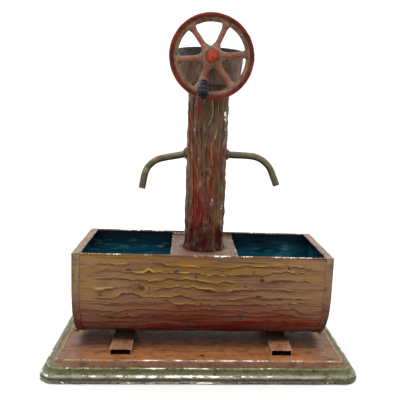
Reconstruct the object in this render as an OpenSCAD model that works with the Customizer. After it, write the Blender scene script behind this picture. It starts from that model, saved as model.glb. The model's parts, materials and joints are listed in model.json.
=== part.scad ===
// Toy village fountain of painted tinplate, with a flywheel-driven lift pump.
// Millimetres. X runs along the trough, -Y is the front with the flywheel, +Z is up.
// The origin is the middle of the base's underside.

/* [Base] */
// Width of the base over its rolled foot
base_w = 172; // [170:1:190]
// Depth of the base over its rolled foot
base_d = 96; // [94:1:110]
// Height of the base's flat panel
panel_z = 8.9; // [8.5:0.1:10]
// Diameter of the four screw holes in the panel
screw_hole_d = 2.5; // [2:0.1:3]
// Distance between the left and right screw holes
screws_x = 148; // [144:1:150]
// Distance between the front and back screw holes
screws_y = 66; // [60:1:70]

/* [Trough] */
// Length of the trough over its end caps
trough_l = 142; // [138:1:150]
// Depth of the trough from front to back, twice the radius of its round bottom
trough_d = 61.5; // [60:0.5:63]
// Height of the trough without the rails
trough_h = 52.3; // [51:0.1:54]
// Distance between the middles of the two rails
rail_gap = 89; // [80:1:100]
// Length of each rail from front to back
rail_l = 65.6; // [60:0.2:70]
// Width of the plate that bridges the trough under the column
bridge_w = 38; // [34:1:44]

/* [Column] */
// Diameter of the log-shaped column
trunk_d = 22.6; // [22.4:0.1:24]
// Height of the column's top above the ground
trunk_top = 156.6; // [156:0.1:158]
// Radius of the head cup at its rim
cup_rim_r = 18.9; // [18.5:0.1:20]
// Height of the head cup's rim above the ground
cup_rim_z = 176; // [175:0.5:178]

/* [Spouts] */
// Outer diameter of the brass spouts
spout_d = 4.1; // [3.8:0.1:4.4]
// Height of the spouts' roots above the ground
spout_z = 118.2; // [116:0.1:119]
// Downward slope of the left spout where it leaves the column, and at its tip
spout_left_slopes = [12, 80];
// Downward slope of the right spout where it leaves the column, and at its tip
spout_right_slopes = [1.5, 67];
// Radius of the left spout's bend
spout_left_bend = 13; // [12:0.5:15]
// Radius of the right spout's bend
spout_right_bend = 15; // [12:0.5:16]

/* [Flywheel and crank] */
// Outer diameter of the grooved flywheel
wheel_d = 44.6; // [42:0.2:46]
// Height of the axle above the ground
axle_z = 170.6; // [170:0.1:171]
// Distance of the flywheel's middle plane in front of the column's axis
wheel_y = 24.1; // [24:0.1:26]
// Number of spokes
spokes = 6; // [5:1:7]
// Turn of the first spoke up from the horizontal
spoke_turn = 7; // [0:1:10]
// Crank throw, half of the pump's stroke
throw = 4.5; // [3.5:0.1:4.5]

/* [Hidden] */

$fn = 64;
sheet = 0.5;              // tinplate thickness
fine = 48;                // facets round small turned parts
slip = 0.05;              // radial running clearance
cut = 1;                  // how far a cutting shape runs past what it cuts

// base
corner_r = 10;            // outer corner radius of the foot, also the moulding's width
bead_r = 0.5;
foot_r = 0.65;

// rails and trough
rail_h = 3.8;
rail_sheet = 0.4;
rail_inside = 11;
rail_flange = 1.6;
trough_r = trough_d / 2;
trough_z = panel_z + rail_h;
trough_axis_z = trough_z + trough_r;
trough_top = trough_z + trough_h;
cap_sheet = 0.4;
cap_band = 4.1;           // width of the end cap's band round the trough
cap_strip = 4.5;          // width of the end cap's strip folded in over the top
hem_r = 0.6;

// bridge plate
bridge_z = trough_top - 2.4;
bridge_flange = 1.6;
barrel_r = 5;
barrel_bore = 4.5;

// column and cup
trunk_r = trunk_d / 2;
trunk_foot_r = trunk_r + 1;
trunk_foot_h = 5;
seam_turn = -35;          // place of the column's lock seam round its axis
seam_r = 0.6;
cup_floor_z = trunk_top + 0.7;
cup_foot_r = 17.4;
cup_spigot_r = trunk_r - sheet - slip;
cup_spigot_h = 5.4;
band_h = 3.8;
band_sheet = 0.35;
band_notch = 0.3;          // gap between the band and the bushes' flanges
cup_knee_z = cup_floor_z + 1.8;

// spouts
spout_root_x = 9.5;       // inner end of each spout, inside the column
spout_left_run = 16.4;
spout_left_drop = 7.5;
spout_right_run = 15.6;
spout_right_drop = 8.3;
collar_r = 3.3;
collar_t = 1.1;

// bearings, axle and flywheel
axle_r = 1.2;
bush_r = 2.2;
bush_flange_r = 3.4;
bush_inner_y = 16.8;
bush_flange_y = 18.75;
bush_outer_y = 19.5;
end_gap = 0.25;
washer_t = 0.5;
web_inner_y = 2;
web_t = 1.2;
crank_pin_r = 1;
wheel_r = wheel_d / 2;
wheel_half_w = 2.3;
hub_r = 5.9;
hub_back = 3.8;           // hub length behind the wheel's middle plane
hub_dome = 5.6;           // hub length in front of the wheel's middle plane
spoke_r = 1.45;
rim_inner_r = 17.8;
axle_front = wheel_y + 2.6;
axle_rear = 24;

// handle grip on its bent pin
grip_root_r = 12.9;       // distance of the pin from the axle
grip_root_turn = 253.5;     // place of the pin round the wheel
grip_lean = 50;           // how far the pin bends down from straight forward
grip_side = 5;            // how far the pin bends sideways
grip_pin_r = 0.8;
grip_start = 1;
grip_l = 10;
grip_root_y = wheel_y + 3.2;
boss_r = 2;
boss_back = 1.5;          // boss length behind the wheel's middle plane
boss_front = 2;
rivet_r = 1.3;            // pin's riveted heads, behind the boss and at the grip's end
rivet_t = 0.6;

// connecting rod, fork and plunger, all drawn at the bottom of the stroke
crank_pin_z = axle_z - throw;
rod_l = 24;
gudgeon_z = crank_pin_z - rod_l;
rod_half_t = 0.8;
rod_w = 3;
eye_r = 2.2;
gudgeon_r = 1;
fork_in = 1.4;            // half the gap between the fork's cheeks
fork_out = 2.4;
fork_half_w = 2.5;
fork_floor_z = gudgeon_z - 12.6;
fork_foot_z = fork_floor_z - 4;
plunger_r = 1;
guide_z = spout_z + 3.8;
guide_t = 1.5;

// pump
barrel_z = 17.5;
barrel_top = spout_z - 8;
seat_z = 22;
port_r = 1.6;
ball_r = 2.4;
ball_gap = 0.1;
ball_z = seat_z + sqrt(ball_r * ball_r - port_r * port_r) + ball_gap;
ball_lift = 1;
stop_r = 0.5;
stop_z = ball_z + ball_r + ball_lift + stop_r + 0.2;
piston_z = stop_z + 3;
piston_r = 4.3;
piston_boss_r = 3.6;
piston_base_h = 1.2;
piston_h = 3;
flap_t = 0.5;
flap_gap = 0.05;
flap_lift = 0.8;
nut_z = piston_z + piston_h + flap_gap + flap_t + flap_lift + 0.25;

// Places its children round the axle, with their +Z pointing to the front
module to_front(distance) {
    translate([0, -distance, axle_z]) rotate([90, 0, 0]) children();
}

// A bar along Y between two distances behind the column's axis
module y_bar(r, from_y, to_y, z) {
    translate([0, from_y, z]) rotate([-90, 0, 0]) cylinder(r = r, h = to_y - from_y, $fn = fine);
}

function arc(cx, cy, r, from, to, steps) =
    [for (i = [0 : steps]) let (a = from + (to - from) * i / steps) [cx + r * cos(a), cy + r * sin(a)]];

// Section of the base's moulding: distance out from the corner's centre, and height
function moulding() = concat(
    [[0, panel_z]],
    arc(1.2, panel_z, bead_r, 180, 0, 6),
    [[1.9, panel_z - 0.25], [3.4, panel_z - 1.4], [4.8, panel_z - 2.1]],
    arc(corner_r - 4.5, panel_z - 2.5, bead_r, 140, -20, 5),
    [[6.2, 5.2], [6.6, 4.3], [9, 3.2], [9.3, 2.8], [9.3, 1.5]],
    arc(corner_r - foot_r, foot_r, foot_r, 80, -90, 6),
    [[8.7, 0], [8.7, 2.7], [6, 3.8], [5.6, 5], [4.9, panel_z - 2.9], [1.6, panel_z - 0.8]],
    [[0, panel_z - sheet]]
);

module moulding_side(length) {
    rotate([90, 0, 90]) linear_extrude(length) polygon(moulding());
}

module base_plate() color("sienna") difference() {
    half_w = base_w / 2 - corner_r;
    half_d = base_d / 2 - corner_r;
    union() {
        translate([-half_w, -half_d, panel_z - sheet]) cube([2 * half_w, 2 * half_d, sheet]);
        for (turn = [0, 180]) rotate([0, 0, turn]) {
            translate([-half_w, half_d, 0]) moulding_side(2 * half_w);
            translate([half_w, half_d, 0]) rotate_extrude(angle = 90) polygon(moulding());
        }
        for (turn = [90, 270]) rotate([0, 0, turn]) {
            translate([-half_d, half_w, 0]) moulding_side(2 * half_d);
            translate([half_d, half_w, 0]) rotate_extrude(angle = 90) polygon(moulding());
        }
    }
    for (spot = [[screws_x / 2, 0], [-screws_x / 2, 0], [0, screws_y / 2], [0, -screws_y / 2]])
        translate([spot[0], spot[1], panel_z - sheet - cut])
            cylinder(d = screw_hole_d, h = sheet + 2 * cut, $fn = fine);
}

// One folded hat-section rail under the trough
module rail(side) color("sienna") {
    inner = rail_inside / 2;
    outer = inner + rail_sheet;
    flange = outer + rail_flange;
    translate([side * rail_gap / 2, 0, panel_z]) rotate([90, 0, 0])
        linear_extrude(rail_l, center = true) polygon([
            [-flange, 0], [-flange, rail_sheet], [-outer, rail_sheet], [-outer, rail_h],
            [outer, rail_h], [outer, rail_sheet], [flange, rail_sheet], [flange, 0],
            [inner, 0], [inner, rail_h - rail_sheet], [-inner, rail_h - rail_sheet], [-inner, 0],
        ]);
}
module rail_left() rail(-1);
module rail_right() rail(1);

// Half-round bottom and straight walls between two radii, from x0 to x1
module u_wall(inner_r, outer_r, x0, x1) {
    thick = outer_r - inner_r;
    translate([x0, 0, trough_axis_z]) rotate([0, 90, 0]) rotate([0, 0, -90])
        rotate_extrude(angle = 180, $fn = 96) translate([inner_r, 0]) square([thick, x1 - x0]);
    for (y = [-outer_r, inner_r])
        translate([x0, y, trough_axis_z]) cube([x1 - x0, thick, trough_top - trough_axis_z]);
}

// The bent sheet of the trough, with hemmed top edges
module trough_shell() color("peru") {
    half_l = trough_l / 2 - cap_sheet - slip;
    hem_l = trough_l - 2 * cap_strip - 0.2;
    u_wall(trough_r - sheet, trough_r, -half_l, half_l);
    for (side = [-1, 1])
        translate([-hem_l / 2, side * (trough_r - sheet / 2), trough_top - 0.15]) rotate([0, 90, 0])
            cylinder(r = hem_r, h = hem_l, $fn = 24);
}

// End plate, the band it turns round the trough and the strip it folds in over the top
module trough_end() {
    end_x = trough_l / 2;
    cap_r = trough_r + cap_sheet;
    translate([end_x - cap_sheet, 0, trough_axis_z]) rotate([0, 90, 0]) rotate([0, 0, -90])
        rotate_extrude(angle = 180, $fn = 96) square([cap_r, cap_sheet]);
    translate([end_x - cap_sheet, -cap_r, trough_axis_z]) cube([cap_sheet, 2 * cap_r, trough_top - trough_axis_z]);
    u_wall(trough_r + 0.02, cap_r, end_x - cap_band, end_x - cap_sheet);
    translate([end_x - cap_strip, -cap_r, trough_top]) cube([cap_strip, 2 * cap_r, cap_sheet]);
}
module trough_end_left() color("rosybrown") mirror([1, 0, 0]) trough_end();
module trough_end_right() color("rosybrown") trough_end();

module bridge_plate() color("rosybrown") difference() {
    half_d = trough_r - sheet - slip;
    union() {
        translate([-bridge_w / 2, -half_d, bridge_z - sheet]) cube([bridge_w, 2 * half_d, sheet]);
        for (y = [-half_d, half_d - sheet])
            translate([-bridge_w / 2, y, bridge_z - sheet]) cube([bridge_w, sheet, sheet + bridge_flange]);
    }
    translate([0, 0, bridge_z - sheet - cut]) cylinder(r = barrel_r + slip, h = sheet + 2 * cut, $fn = fine);
}

// A spout's ring-shaped section, thinner by the given amount on both of its walls
module spout_section(thinner) difference() {
    circle(r = spout_d / 2 - thinner, $fn = fine);
    circle(r = spout_d / 2 - sheet + thinner, $fn = fine);
}

// A brass tube that runs straight, bends and drops. The straight parts are thinner by a
// hair and reach a little into the bend, so that the three join into one tube
module spout(slopes, run, bend, drop) {
    turn = slopes[1] - slopes[0];
    hair = 0.01;
    lap = 0.2;
    translate([spout_root_x, 0, spout_z]) rotate([90, 0, 0]) rotate([0, 0, -slopes[0]]) {
        rotate([0, 90, 0]) linear_extrude(run + lap) spout_section(hair);
        translate([run, -bend, 0]) {
            rotate([0, 0, 90 - turn]) rotate_extrude(angle = turn) translate([bend, 0]) spout_section(0);
            rotate([0, 0, -turn]) translate([-lap, bend, 0]) rotate([0, 90, 0])
                linear_extrude(drop + lap) spout_section(hair);
        }
    }
}
module spout_left() color("darkkhaki") mirror([1, 0, 0])
    spout(spout_left_slopes, spout_left_run, spout_left_bend, spout_left_drop);
module spout_right() color("darkkhaki")
    spout(spout_right_slopes, spout_right_run, spout_right_bend, spout_right_drop);

// A straight round bar along a spout's root, for its hole and its collar
module spout_root(side, slope, r, from_x, to_x) {
    mirror([side < 0 ? 1 : 0, 0, 0]) translate([spout_root_x, 0, spout_z]) rotate([0, slope, 0])
        rotate([0, 90, 0]) translate([0, 0, from_x - spout_root_x])
            cylinder(r = r, h = to_x - from_x, $fn = fine);
}

module spout_collars() color("saddlebrown")
    for (item = [[-1, spout_left_slopes[0]], [1, spout_right_slopes[0]]]) difference() {
        spout_root(item[0], item[1], collar_r, trunk_r - 1.2, trunk_r + collar_t);
        spout_root(item[0], item[1], spout_d / 2 + 0.02, trunk_r - 2.5, trunk_r + collar_t + cut);
        translate([0, 0, spout_z - 10]) cylinder(r = trunk_r + 0.02, h = 20);
    }

module trunk_tube() color("saddlebrown") difference() {
    foot_z = bridge_z + slip;
    union() {
        rotate_extrude() polygon([
            [trunk_foot_r - sheet, foot_z], [trunk_foot_r, foot_z], [trunk_r, foot_z + trunk_foot_h],
            [trunk_r, trunk_top], [trunk_r - sheet, trunk_top], [trunk_r - sheet, foot_z + trunk_foot_h],
        ]);
        rotate([0, 0, seam_turn]) translate([trunk_r + 0.1, 0, foot_z + trunk_foot_h - 1])
            cylinder(r = seam_r, h = trunk_top - foot_z - trunk_foot_h, $fn = 24);
    }
    spout_root(-1, spout_left_slopes[0], spout_d / 2 + 0.02, 0, trunk_r + 4);
    spout_root(1, spout_right_slopes[0], spout_d / 2 + 0.02, 0, trunk_r + 4);
}

// Outer radius of the cup's side at a height
function cup_r(z) = cup_foot_r + (cup_rim_r - cup_foot_r) * (z - cup_knee_z) / (cup_rim_z - cup_knee_z);

module head_cup() color("dimgray") difference() {
    rotate_extrude() polygon([
        [cup_spigot_r - sheet, trunk_top - cup_spigot_h], [cup_spigot_r, trunk_top - cup_spigot_h],
        [cup_spigot_r, trunk_top + slip], [cup_foot_r - 1.8, cup_floor_z],
        [cup_foot_r - 0.5, cup_floor_z + 0.5], [cup_foot_r, cup_knee_z],
        [cup_rim_r, cup_rim_z], [cup_rim_r - sheet, cup_rim_z],
        [cup_foot_r - sheet, cup_knee_z], [cup_foot_r - 1.9, cup_floor_z + sheet],
        [cup_spigot_r - sheet, trunk_top + sheet],
    ]);
    y_bar(bush_r + slip, -cup_rim_r - cut, cup_rim_r + cut, axle_z);
}

// Band round the cup's rim, notched round the flanges of the two bushes
module cup_band() color("darkslategray") difference() {
    foot_z = cup_rim_z - band_h;
    inner_foot = cup_r(foot_z) + 0.02;
    inner_rim = cup_rim_r + 0.02;
    rotate_extrude() polygon([
        [inner_foot, foot_z], [inner_foot + band_sheet, foot_z],
        [inner_rim + band_sheet, cup_rim_z + 0.2], [inner_rim - sheet, cup_rim_z + 0.2],
        [inner_rim - sheet, cup_rim_z + 0.02], [inner_rim, cup_rim_z + 0.02],
    ]);
    y_bar(bush_flange_r + band_notch, -cup_rim_r - cut, cup_rim_r + cut, axle_z);
}

// A flanged brass bush in the cup's wall
module bush() difference() {
    union() {
        to_front(bush_inner_y) cylinder(r = bush_r, h = bush_outer_y - bush_inner_y, $fn = fine);
        to_front(bush_flange_y) cylinder(r = bush_flange_r, h = bush_outer_y - bush_flange_y, $fn = fine);
    }
    to_front(bush_inner_y - cut) cylinder(r = axle_r + slip, h = bush_outer_y - bush_inner_y + 2 * cut, $fn = fine);
}
module bearing_front() color("goldenrod") bush();
module bearing_rear() color("goldenrod") mirror([0, 1, 0]) bush();

module rod_guide() color("silver") difference() {
    translate([0, 0, guide_z]) cylinder(r = trunk_r - sheet - 0.02, h = guide_t);
    translate([0, 0, guide_z - cut]) cylinder(r = plunger_r + slip, h = guide_t + 2 * cut, $fn = fine);
    for (turn = [45 : 90 : 315]) rotate([0, 0, turn]) translate([6.5, 0, guide_z - cut])
        cylinder(r = 1.8, h = guide_t + 2 * cut, $fn = 32);
}

module pump_barrel() color("goldenrod") difference() {
    translate([0, 0, barrel_z]) cylinder(r = barrel_r, h = barrel_top - barrel_z, $fn = fine);
    translate([0, 0, barrel_z - cut]) cylinder(r = barrel_bore, h = barrel_top - barrel_z + 2 * cut, $fn = fine);
    y_bar(stop_r + 0.02, -barrel_r - cut, barrel_r + cut, stop_z);
}

module barrel_nut() color("goldenrod") difference() {
    translate([0, 0, bridge_z - sheet - 2.5]) cylinder(r = 7.2, h = 2.48, $fn = 6);
    translate([0, 0, bridge_z - sheet - 3.5]) cylinder(r = barrel_r + 0.02, h = 5, $fn = fine);
}

module valve_seat() color("goldenrod") difference() {
    translate([0, 0, barrel_z]) cylinder(r = barrel_bore - 0.02, h = seat_z - barrel_z, $fn = fine);
    translate([0, 0, barrel_z - cut]) cylinder(r = port_r, h = seat_z - barrel_z + 2 * cut, $fn = fine);
}

module valve_stop_pin() color("silver") y_bar(stop_r, -barrel_r + 0.1, barrel_r - 0.1, stop_z);

// Slotted cap over the barrel's foot, standing clear of the trough's floor
module suction_strainer() color("goldenrod") difference() {
    translate([0, 0, barrel_z - 2.5]) cylinder(r = barrel_r + 0.7, h = 6.5, $fn = fine);
    translate([0, 0, barrel_z - 2]) cylinder(r = barrel_bore, h = 2.5, $fn = fine);
    translate([0, 0, barrel_z - 0.02]) cylinder(r = barrel_r + 0.02, h = 6, $fn = fine);
    for (turn = [0 : 45 : 315]) rotate([0, 0, turn])
        translate([0, -0.6, barrel_z - 1.7]) cube([8, 1.2, 1.3]);
}

module foot_ball() color("gainsboro") translate([0, 0, ball_z]) sphere(r = ball_r, $fn = fine);

// The crank wire: two journals, two webs and the offset pin between them
module crank_axle() color("silver") {
    web_outer_y = web_inner_y + web_t;
    y_bar(axle_r, -axle_front, -web_outer_y, axle_z);
    y_bar(axle_r, web_outer_y, axle_rear, axle_z);
    y_bar(crank_pin_r, -web_inner_y, web_inner_y, crank_pin_z);
    for (y = [-web_outer_y, web_inner_y]) {
        y_bar(2.2, y, y + web_t, axle_z);
        y_bar(1.9, y, y + web_t, crank_pin_z);
        translate([-1.9, y, crank_pin_z]) cube([3.8, web_t, throw]);
    }
}

module wheel_rim() rotate_extrude($fn = 96) polygon([
    [rim_inner_r, -1.5], [20.4, -wheel_half_w], [21.2, -wheel_half_w], [wheel_r, -2],
    [wheel_r, -1.3], [wheel_r - 1.9, -0.3], [wheel_r - 1.9, 0.3], [wheel_r, 1.3],
    [wheel_r, 2], [21.2, wheel_half_w], [20.6, wheel_half_w], [rim_inner_r + 0.4, 1.2], [rim_inner_r, 0.8],
]);

module wheel_hub() rotate_extrude() polygon(concat(
    [[0, -hub_back], [4.4, -hub_back], [4.4, -2.2], [5.4, -1.6], [hub_r, -0.6]],
    arc(0, 0, 1, 0, 90, 10) * [[hub_r, 0], [0, hub_dome]]
));

// Grooved flywheel with round spokes, a domed hub and a boss for the grip's pin
module flywheel() color("firebrick") difference() {
    to_front(wheel_y) {
        wheel_rim();
        wheel_hub();
        for (i = [0 : spokes - 1]) rotate([0, 0, spoke_turn + i * 360 / spokes]) translate([4, 0, 0])
            rotate([0, 90, 0]) cylinder(r = spoke_r, h = rim_inner_r - 3.4, $fn = 32);
        rotate([0, 0, grip_root_turn]) translate([grip_root_r, 0, -boss_back])
            cylinder(r = boss_r, h = boss_back + boss_front, $fn = 32);
    }
    to_front(wheel_y - hub_back - cut) cylinder(r = axle_r + 0.01, h = hub_back + cut + 2.7, $fn = fine);
    to_front(wheel_y) rotate([0, 0, grip_root_turn]) translate([grip_root_r, 0, -boss_back - cut])
        cylinder(r = grip_pin_r + 0.01, h = boss_back + boss_front + 2 * cut, $fn = 32);
}

module hub_washer() color("silver") difference() {
    to_front(bush_outer_y + end_gap) cylinder(r = 2.8, h = washer_t, $fn = fine);
    to_front(bush_outer_y) cylinder(r = axle_r + 0.02, h = 2, $fn = fine);
}

module axle_collar() color("goldenrod") mirror([0, 1, 0]) difference() {
    to_front(bush_outer_y + end_gap) cylinder(r = 2.8, h = 3, $fn = fine);
    to_front(bush_outer_y) cylinder(r = axle_r + 0.02, h = 5, $fn = fine);
    translate([0, -bush_outer_y - end_gap - 1.5, axle_z]) cylinder(r = 0.62, h = 4, $fn = 24);
}

module collar_screw() color("silver")
    translate([0, bush_outer_y + end_gap + 1.5, axle_z + axle_r + 0.05]) cylinder(r = 0.6, h = 1.9, $fn = 24);

// Places its children at the pin's bend, with +Z along the bent part
module at_grip() {
    translate([grip_root_r * cos(grip_root_turn), -grip_root_y, axle_z + grip_root_r * sin(grip_root_turn)])
        rotate([0, grip_side, 0]) rotate([90 + grip_lean, 0, 0]) children();
}

module grip_pin() color("silver") {
    at_grip() {
        cylinder(r = grip_pin_r, h = grip_start + grip_l + 0.6, $fn = fine);
        sphere(r = grip_pin_r + 0.1, $fn = fine);
        translate([0, 0, grip_start + grip_l + 0.3]) cylinder(r = rivet_r, h = rivet_t, $fn = 32);
    }
    to_front(wheel_y) rotate([0, 0, grip_root_turn]) translate([grip_root_r, 0, -boss_back - 0.1]) {
        cylinder(r = grip_pin_r, h = grip_root_y - wheel_y + boss_back + 0.1, $fn = 32);
        translate([0, 0, 0.05 - rivet_t]) cylinder(r = rivet_r, h = rivet_t, $fn = 32);
    }
}

module crank_grip() color("midnightblue") at_grip() difference() {
    rotate_extrude($fn = fine) polygon(concat(
        [[0, grip_start], [1.5, grip_start]],
        [[1.75, 3], [2.25, 5], [2.7, 6.6], [2.85, 7.4], [2.75, 7.6], [2.95, 7.9], [3, 9]],
        arc(1.5, grip_start + grip_l - 1.5, 1.5, 0, 90, 4),
        [[0, grip_start + grip_l]]
    ));
    cylinder(r = grip_pin_r + slip, h = 20, $fn = fine);
}

module connecting_rod() color("goldenrod") difference() {
    union() {
        for (z = [gudgeon_z, crank_pin_z]) y_bar(eye_r, -rod_half_t, rod_half_t, z);
        translate([-rod_w / 2, -rod_half_t, gudgeon_z]) cube([rod_w, 2 * rod_half_t, rod_l]);
    }
    y_bar(crank_pin_r + slip, -fork_in, fork_in, crank_pin_z);
    y_bar(gudgeon_r + 0.01, -fork_in, fork_in, gudgeon_z);
}

// Ends short of the fork's cheeks, so the rod can swing past the open pivot
module gudgeon_pin() color("silver") y_bar(gudgeon_r, -fork_in + 0.3, fork_in - 0.3, gudgeon_z);

module plunger_fork() color("goldenrod") difference() {
    union() {
        y_bar(fork_half_w, -fork_out, fork_out, gudgeon_z);
        translate([-fork_half_w, -fork_out, fork_foot_z])
            cube([2 * fork_half_w, 2 * fork_out, gudgeon_z - fork_foot_z]);
    }
    translate([-fork_half_w - cut, -fork_in, fork_floor_z])
        cube([2 * fork_half_w + 2 * cut, 2 * fork_in, gudgeon_z - fork_floor_z + fork_half_w + cut]);
    y_bar(gudgeon_r + slip, -fork_out - cut, fork_out + cut, gudgeon_z);
    translate([0, 0, fork_foot_z - cut]) cylinder(r = plunger_r + 0.01, h = 3.5, $fn = fine);
}

module plunger_rod() color("silver")
    translate([0, 0, piston_z]) cylinder(r = plunger_r, h = fork_foot_z + 2.4 - piston_z, $fn = fine);

module piston_body() color("goldenrod") difference() {
    union() {
        translate([0, 0, piston_z]) cylinder(r = piston_r, h = piston_base_h, $fn = fine);
        translate([0, 0, piston_z]) cylinder(r = piston_boss_r, h = piston_h, $fn = fine);
    }
    translate([0, 0, piston_z - cut]) cylinder(r = plunger_r + 0.01, h = piston_h + 2 * cut, $fn = fine);
    for (turn = [0 : 90 : 270]) rotate([0, 0, turn]) translate([2.3, 0, piston_z - cut])
        cylinder(r = 0.55, h = piston_h + 2 * cut, $fn = 24);
}

module piston_leather() color("tan") difference() {
    translate([0, 0, piston_z + piston_base_h + 0.01]) cylinder(r = barrel_bore - slip, h = 2.8, $fn = fine);
    translate([0, 0, piston_z]) cylinder(r = piston_boss_r + 0.02, h = 6, $fn = fine);
}

module piston_nut() color("goldenrod") difference() {
    translate([0, 0, nut_z]) cylinder(r = 2.4, h = 1.6, $fn = 6);
    translate([0, 0, nut_z - cut]) cylinder(r = plunger_r + 0.01, h = 4, $fn = fine);
}

module piston_flap() color("sienna") difference() {
    translate([0, 0, piston_z + piston_h + flap_gap]) cylinder(r = 3.3, h = flap_t, $fn = fine);
    translate([0, 0, piston_z]) cylinder(r = plunger_r + slip, h = 6, $fn = fine);
}

base_plate();
rail_left();
rail_right();
trough_shell();
trough_end_left();
trough_end_right();
bridge_plate();
trunk_tube();
head_cup();
cup_band();
spout_left();
spout_right();
spout_collars();
bearing_front();
bearing_rear();
rod_guide();
pump_barrel();
barrel_nut();
valve_seat();
valve_stop_pin();
suction_strainer();
foot_ball();
crank_axle();
flywheel();
hub_washer();
axle_collar();
collar_screw();
grip_pin();
crank_grip();
connecting_rod();
gudgeon_pin();
plunger_fork();
plunger_rod();
piston_body();
piston_leather();
piston_nut();
piston_flap();
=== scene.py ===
"""Looks of the toy village fountain: embossed, hand-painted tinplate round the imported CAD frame.

Shapes are worked out in millimetres and stored in metres. X runs along the trough, -Y is the front
with the flywheel, +Z is up. Overall sizes and places come from the frame's nodes and joints.
"""

import json
import math

import bmesh
import bpy
import numpy as np
from mathutils import Matrix, Vector

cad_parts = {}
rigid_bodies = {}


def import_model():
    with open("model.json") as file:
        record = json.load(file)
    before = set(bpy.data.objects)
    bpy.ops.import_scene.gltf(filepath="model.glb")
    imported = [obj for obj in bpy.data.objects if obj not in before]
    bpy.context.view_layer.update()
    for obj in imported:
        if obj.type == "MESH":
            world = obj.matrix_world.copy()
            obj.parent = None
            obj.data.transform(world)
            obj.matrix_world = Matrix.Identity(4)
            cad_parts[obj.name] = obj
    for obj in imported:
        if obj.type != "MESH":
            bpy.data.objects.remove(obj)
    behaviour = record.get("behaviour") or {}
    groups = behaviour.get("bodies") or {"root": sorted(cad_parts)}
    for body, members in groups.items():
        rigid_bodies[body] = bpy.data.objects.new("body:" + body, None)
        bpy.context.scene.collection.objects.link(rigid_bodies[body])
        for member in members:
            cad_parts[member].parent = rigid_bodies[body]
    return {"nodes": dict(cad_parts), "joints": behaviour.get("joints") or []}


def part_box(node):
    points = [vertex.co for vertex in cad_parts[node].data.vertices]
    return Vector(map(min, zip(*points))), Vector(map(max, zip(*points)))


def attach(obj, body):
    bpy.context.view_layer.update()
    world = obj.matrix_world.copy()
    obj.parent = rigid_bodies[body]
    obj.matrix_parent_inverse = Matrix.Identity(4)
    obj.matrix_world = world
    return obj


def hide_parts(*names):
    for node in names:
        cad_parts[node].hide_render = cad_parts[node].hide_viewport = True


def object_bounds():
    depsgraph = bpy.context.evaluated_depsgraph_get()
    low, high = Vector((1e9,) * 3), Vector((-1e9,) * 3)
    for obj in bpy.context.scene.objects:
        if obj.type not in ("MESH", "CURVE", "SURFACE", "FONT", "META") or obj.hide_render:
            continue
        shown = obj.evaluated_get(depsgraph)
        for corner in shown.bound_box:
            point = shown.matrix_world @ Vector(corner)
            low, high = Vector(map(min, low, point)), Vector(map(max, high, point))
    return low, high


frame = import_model()
cad_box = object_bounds()

MM = 0.001
SHEET = 0.5
TONE = 0.68              # paint is mixed this much darker than it looks under the bright studio light


# ---------------------------------------------------------------- shape tools

def extent(*nodes):
    """Lowest and highest corner of some CAD nodes together, in millimetres."""
    corners = np.array([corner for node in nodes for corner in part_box(node)]) / MM
    return corners.min(0), corners.max(0)


def joint(name):
    """Place of a joint in millimetres, and its axis."""
    found = next(item for item in frame["joints"] if item["name"] == name)
    return np.array(found["pos_m"]) / MM, np.array(found["axis"])


def waves(points, pitch, seed, count=40):
    """Smooth random heights, about -1 to 1. pitch is the rough distance between bumps along each axis."""
    random = np.random.default_rng(seed)
    turns = random.normal(size=(count, 3)) * 2 * math.pi / (np.array(pitch) * 1.6)
    phases = random.uniform(0, 2 * math.pi, count)
    return np.sin(points @ turns.T + phases).sum(-1) / math.sqrt(count)


def smoothstep(values, low, high):
    """0 at low, 1 at high and a smooth change between them."""
    t = np.clip((np.asarray(values, float) - low) / (high - low), 0, 1)
    return t * t * (3 - 2 * t)


def hump(values, centre, half_width):
    """1 at the centre, falling smoothly to 0 at half_width on both sides."""
    return smoothstep(np.abs(np.asarray(values, float) - centre), half_width, 0)


def arc(centre, radius, start, end, steps):
    """Points on a round stretch of an outline, with angles in degrees."""
    turns = np.radians(np.linspace(start, end, steps + 1))
    return [(centre[0] + radius * math.cos(t), centre[1] + radius * math.sin(t)) for t in turns]


def away_from_axis(points):
    """Directions away from the Z axis."""
    return points[..., :2] / np.linalg.norm(points[..., :2], axis=2)[..., None]


def evenly(line, step, soften=0.0):
    """A line of points walked at even steps, with its corners rounded over the distance soften."""
    line = np.array(line, float)
    along = np.concatenate([[0], np.cumsum(np.linalg.norm(np.diff(line, axis=0), axis=1))])
    places = np.linspace(0, along[-1], max(2, round(along[-1] / step) + 1))
    reach = np.minimum(soften / 2, np.minimum(places, along[-1] - places))
    walked = 0
    shares = np.linspace(-1, 1, 9)
    for share in shares:
        spots = places + share * reach
        walked = walked + np.stack([np.interp(spots, along, column) for column in line.T], 1)
    return walked / len(shares)


def new_object(name, mesh):
    thing = bpy.data.objects.new(name, mesh)
    bpy.context.scene.collection.objects.link(thing)
    return thing


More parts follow.
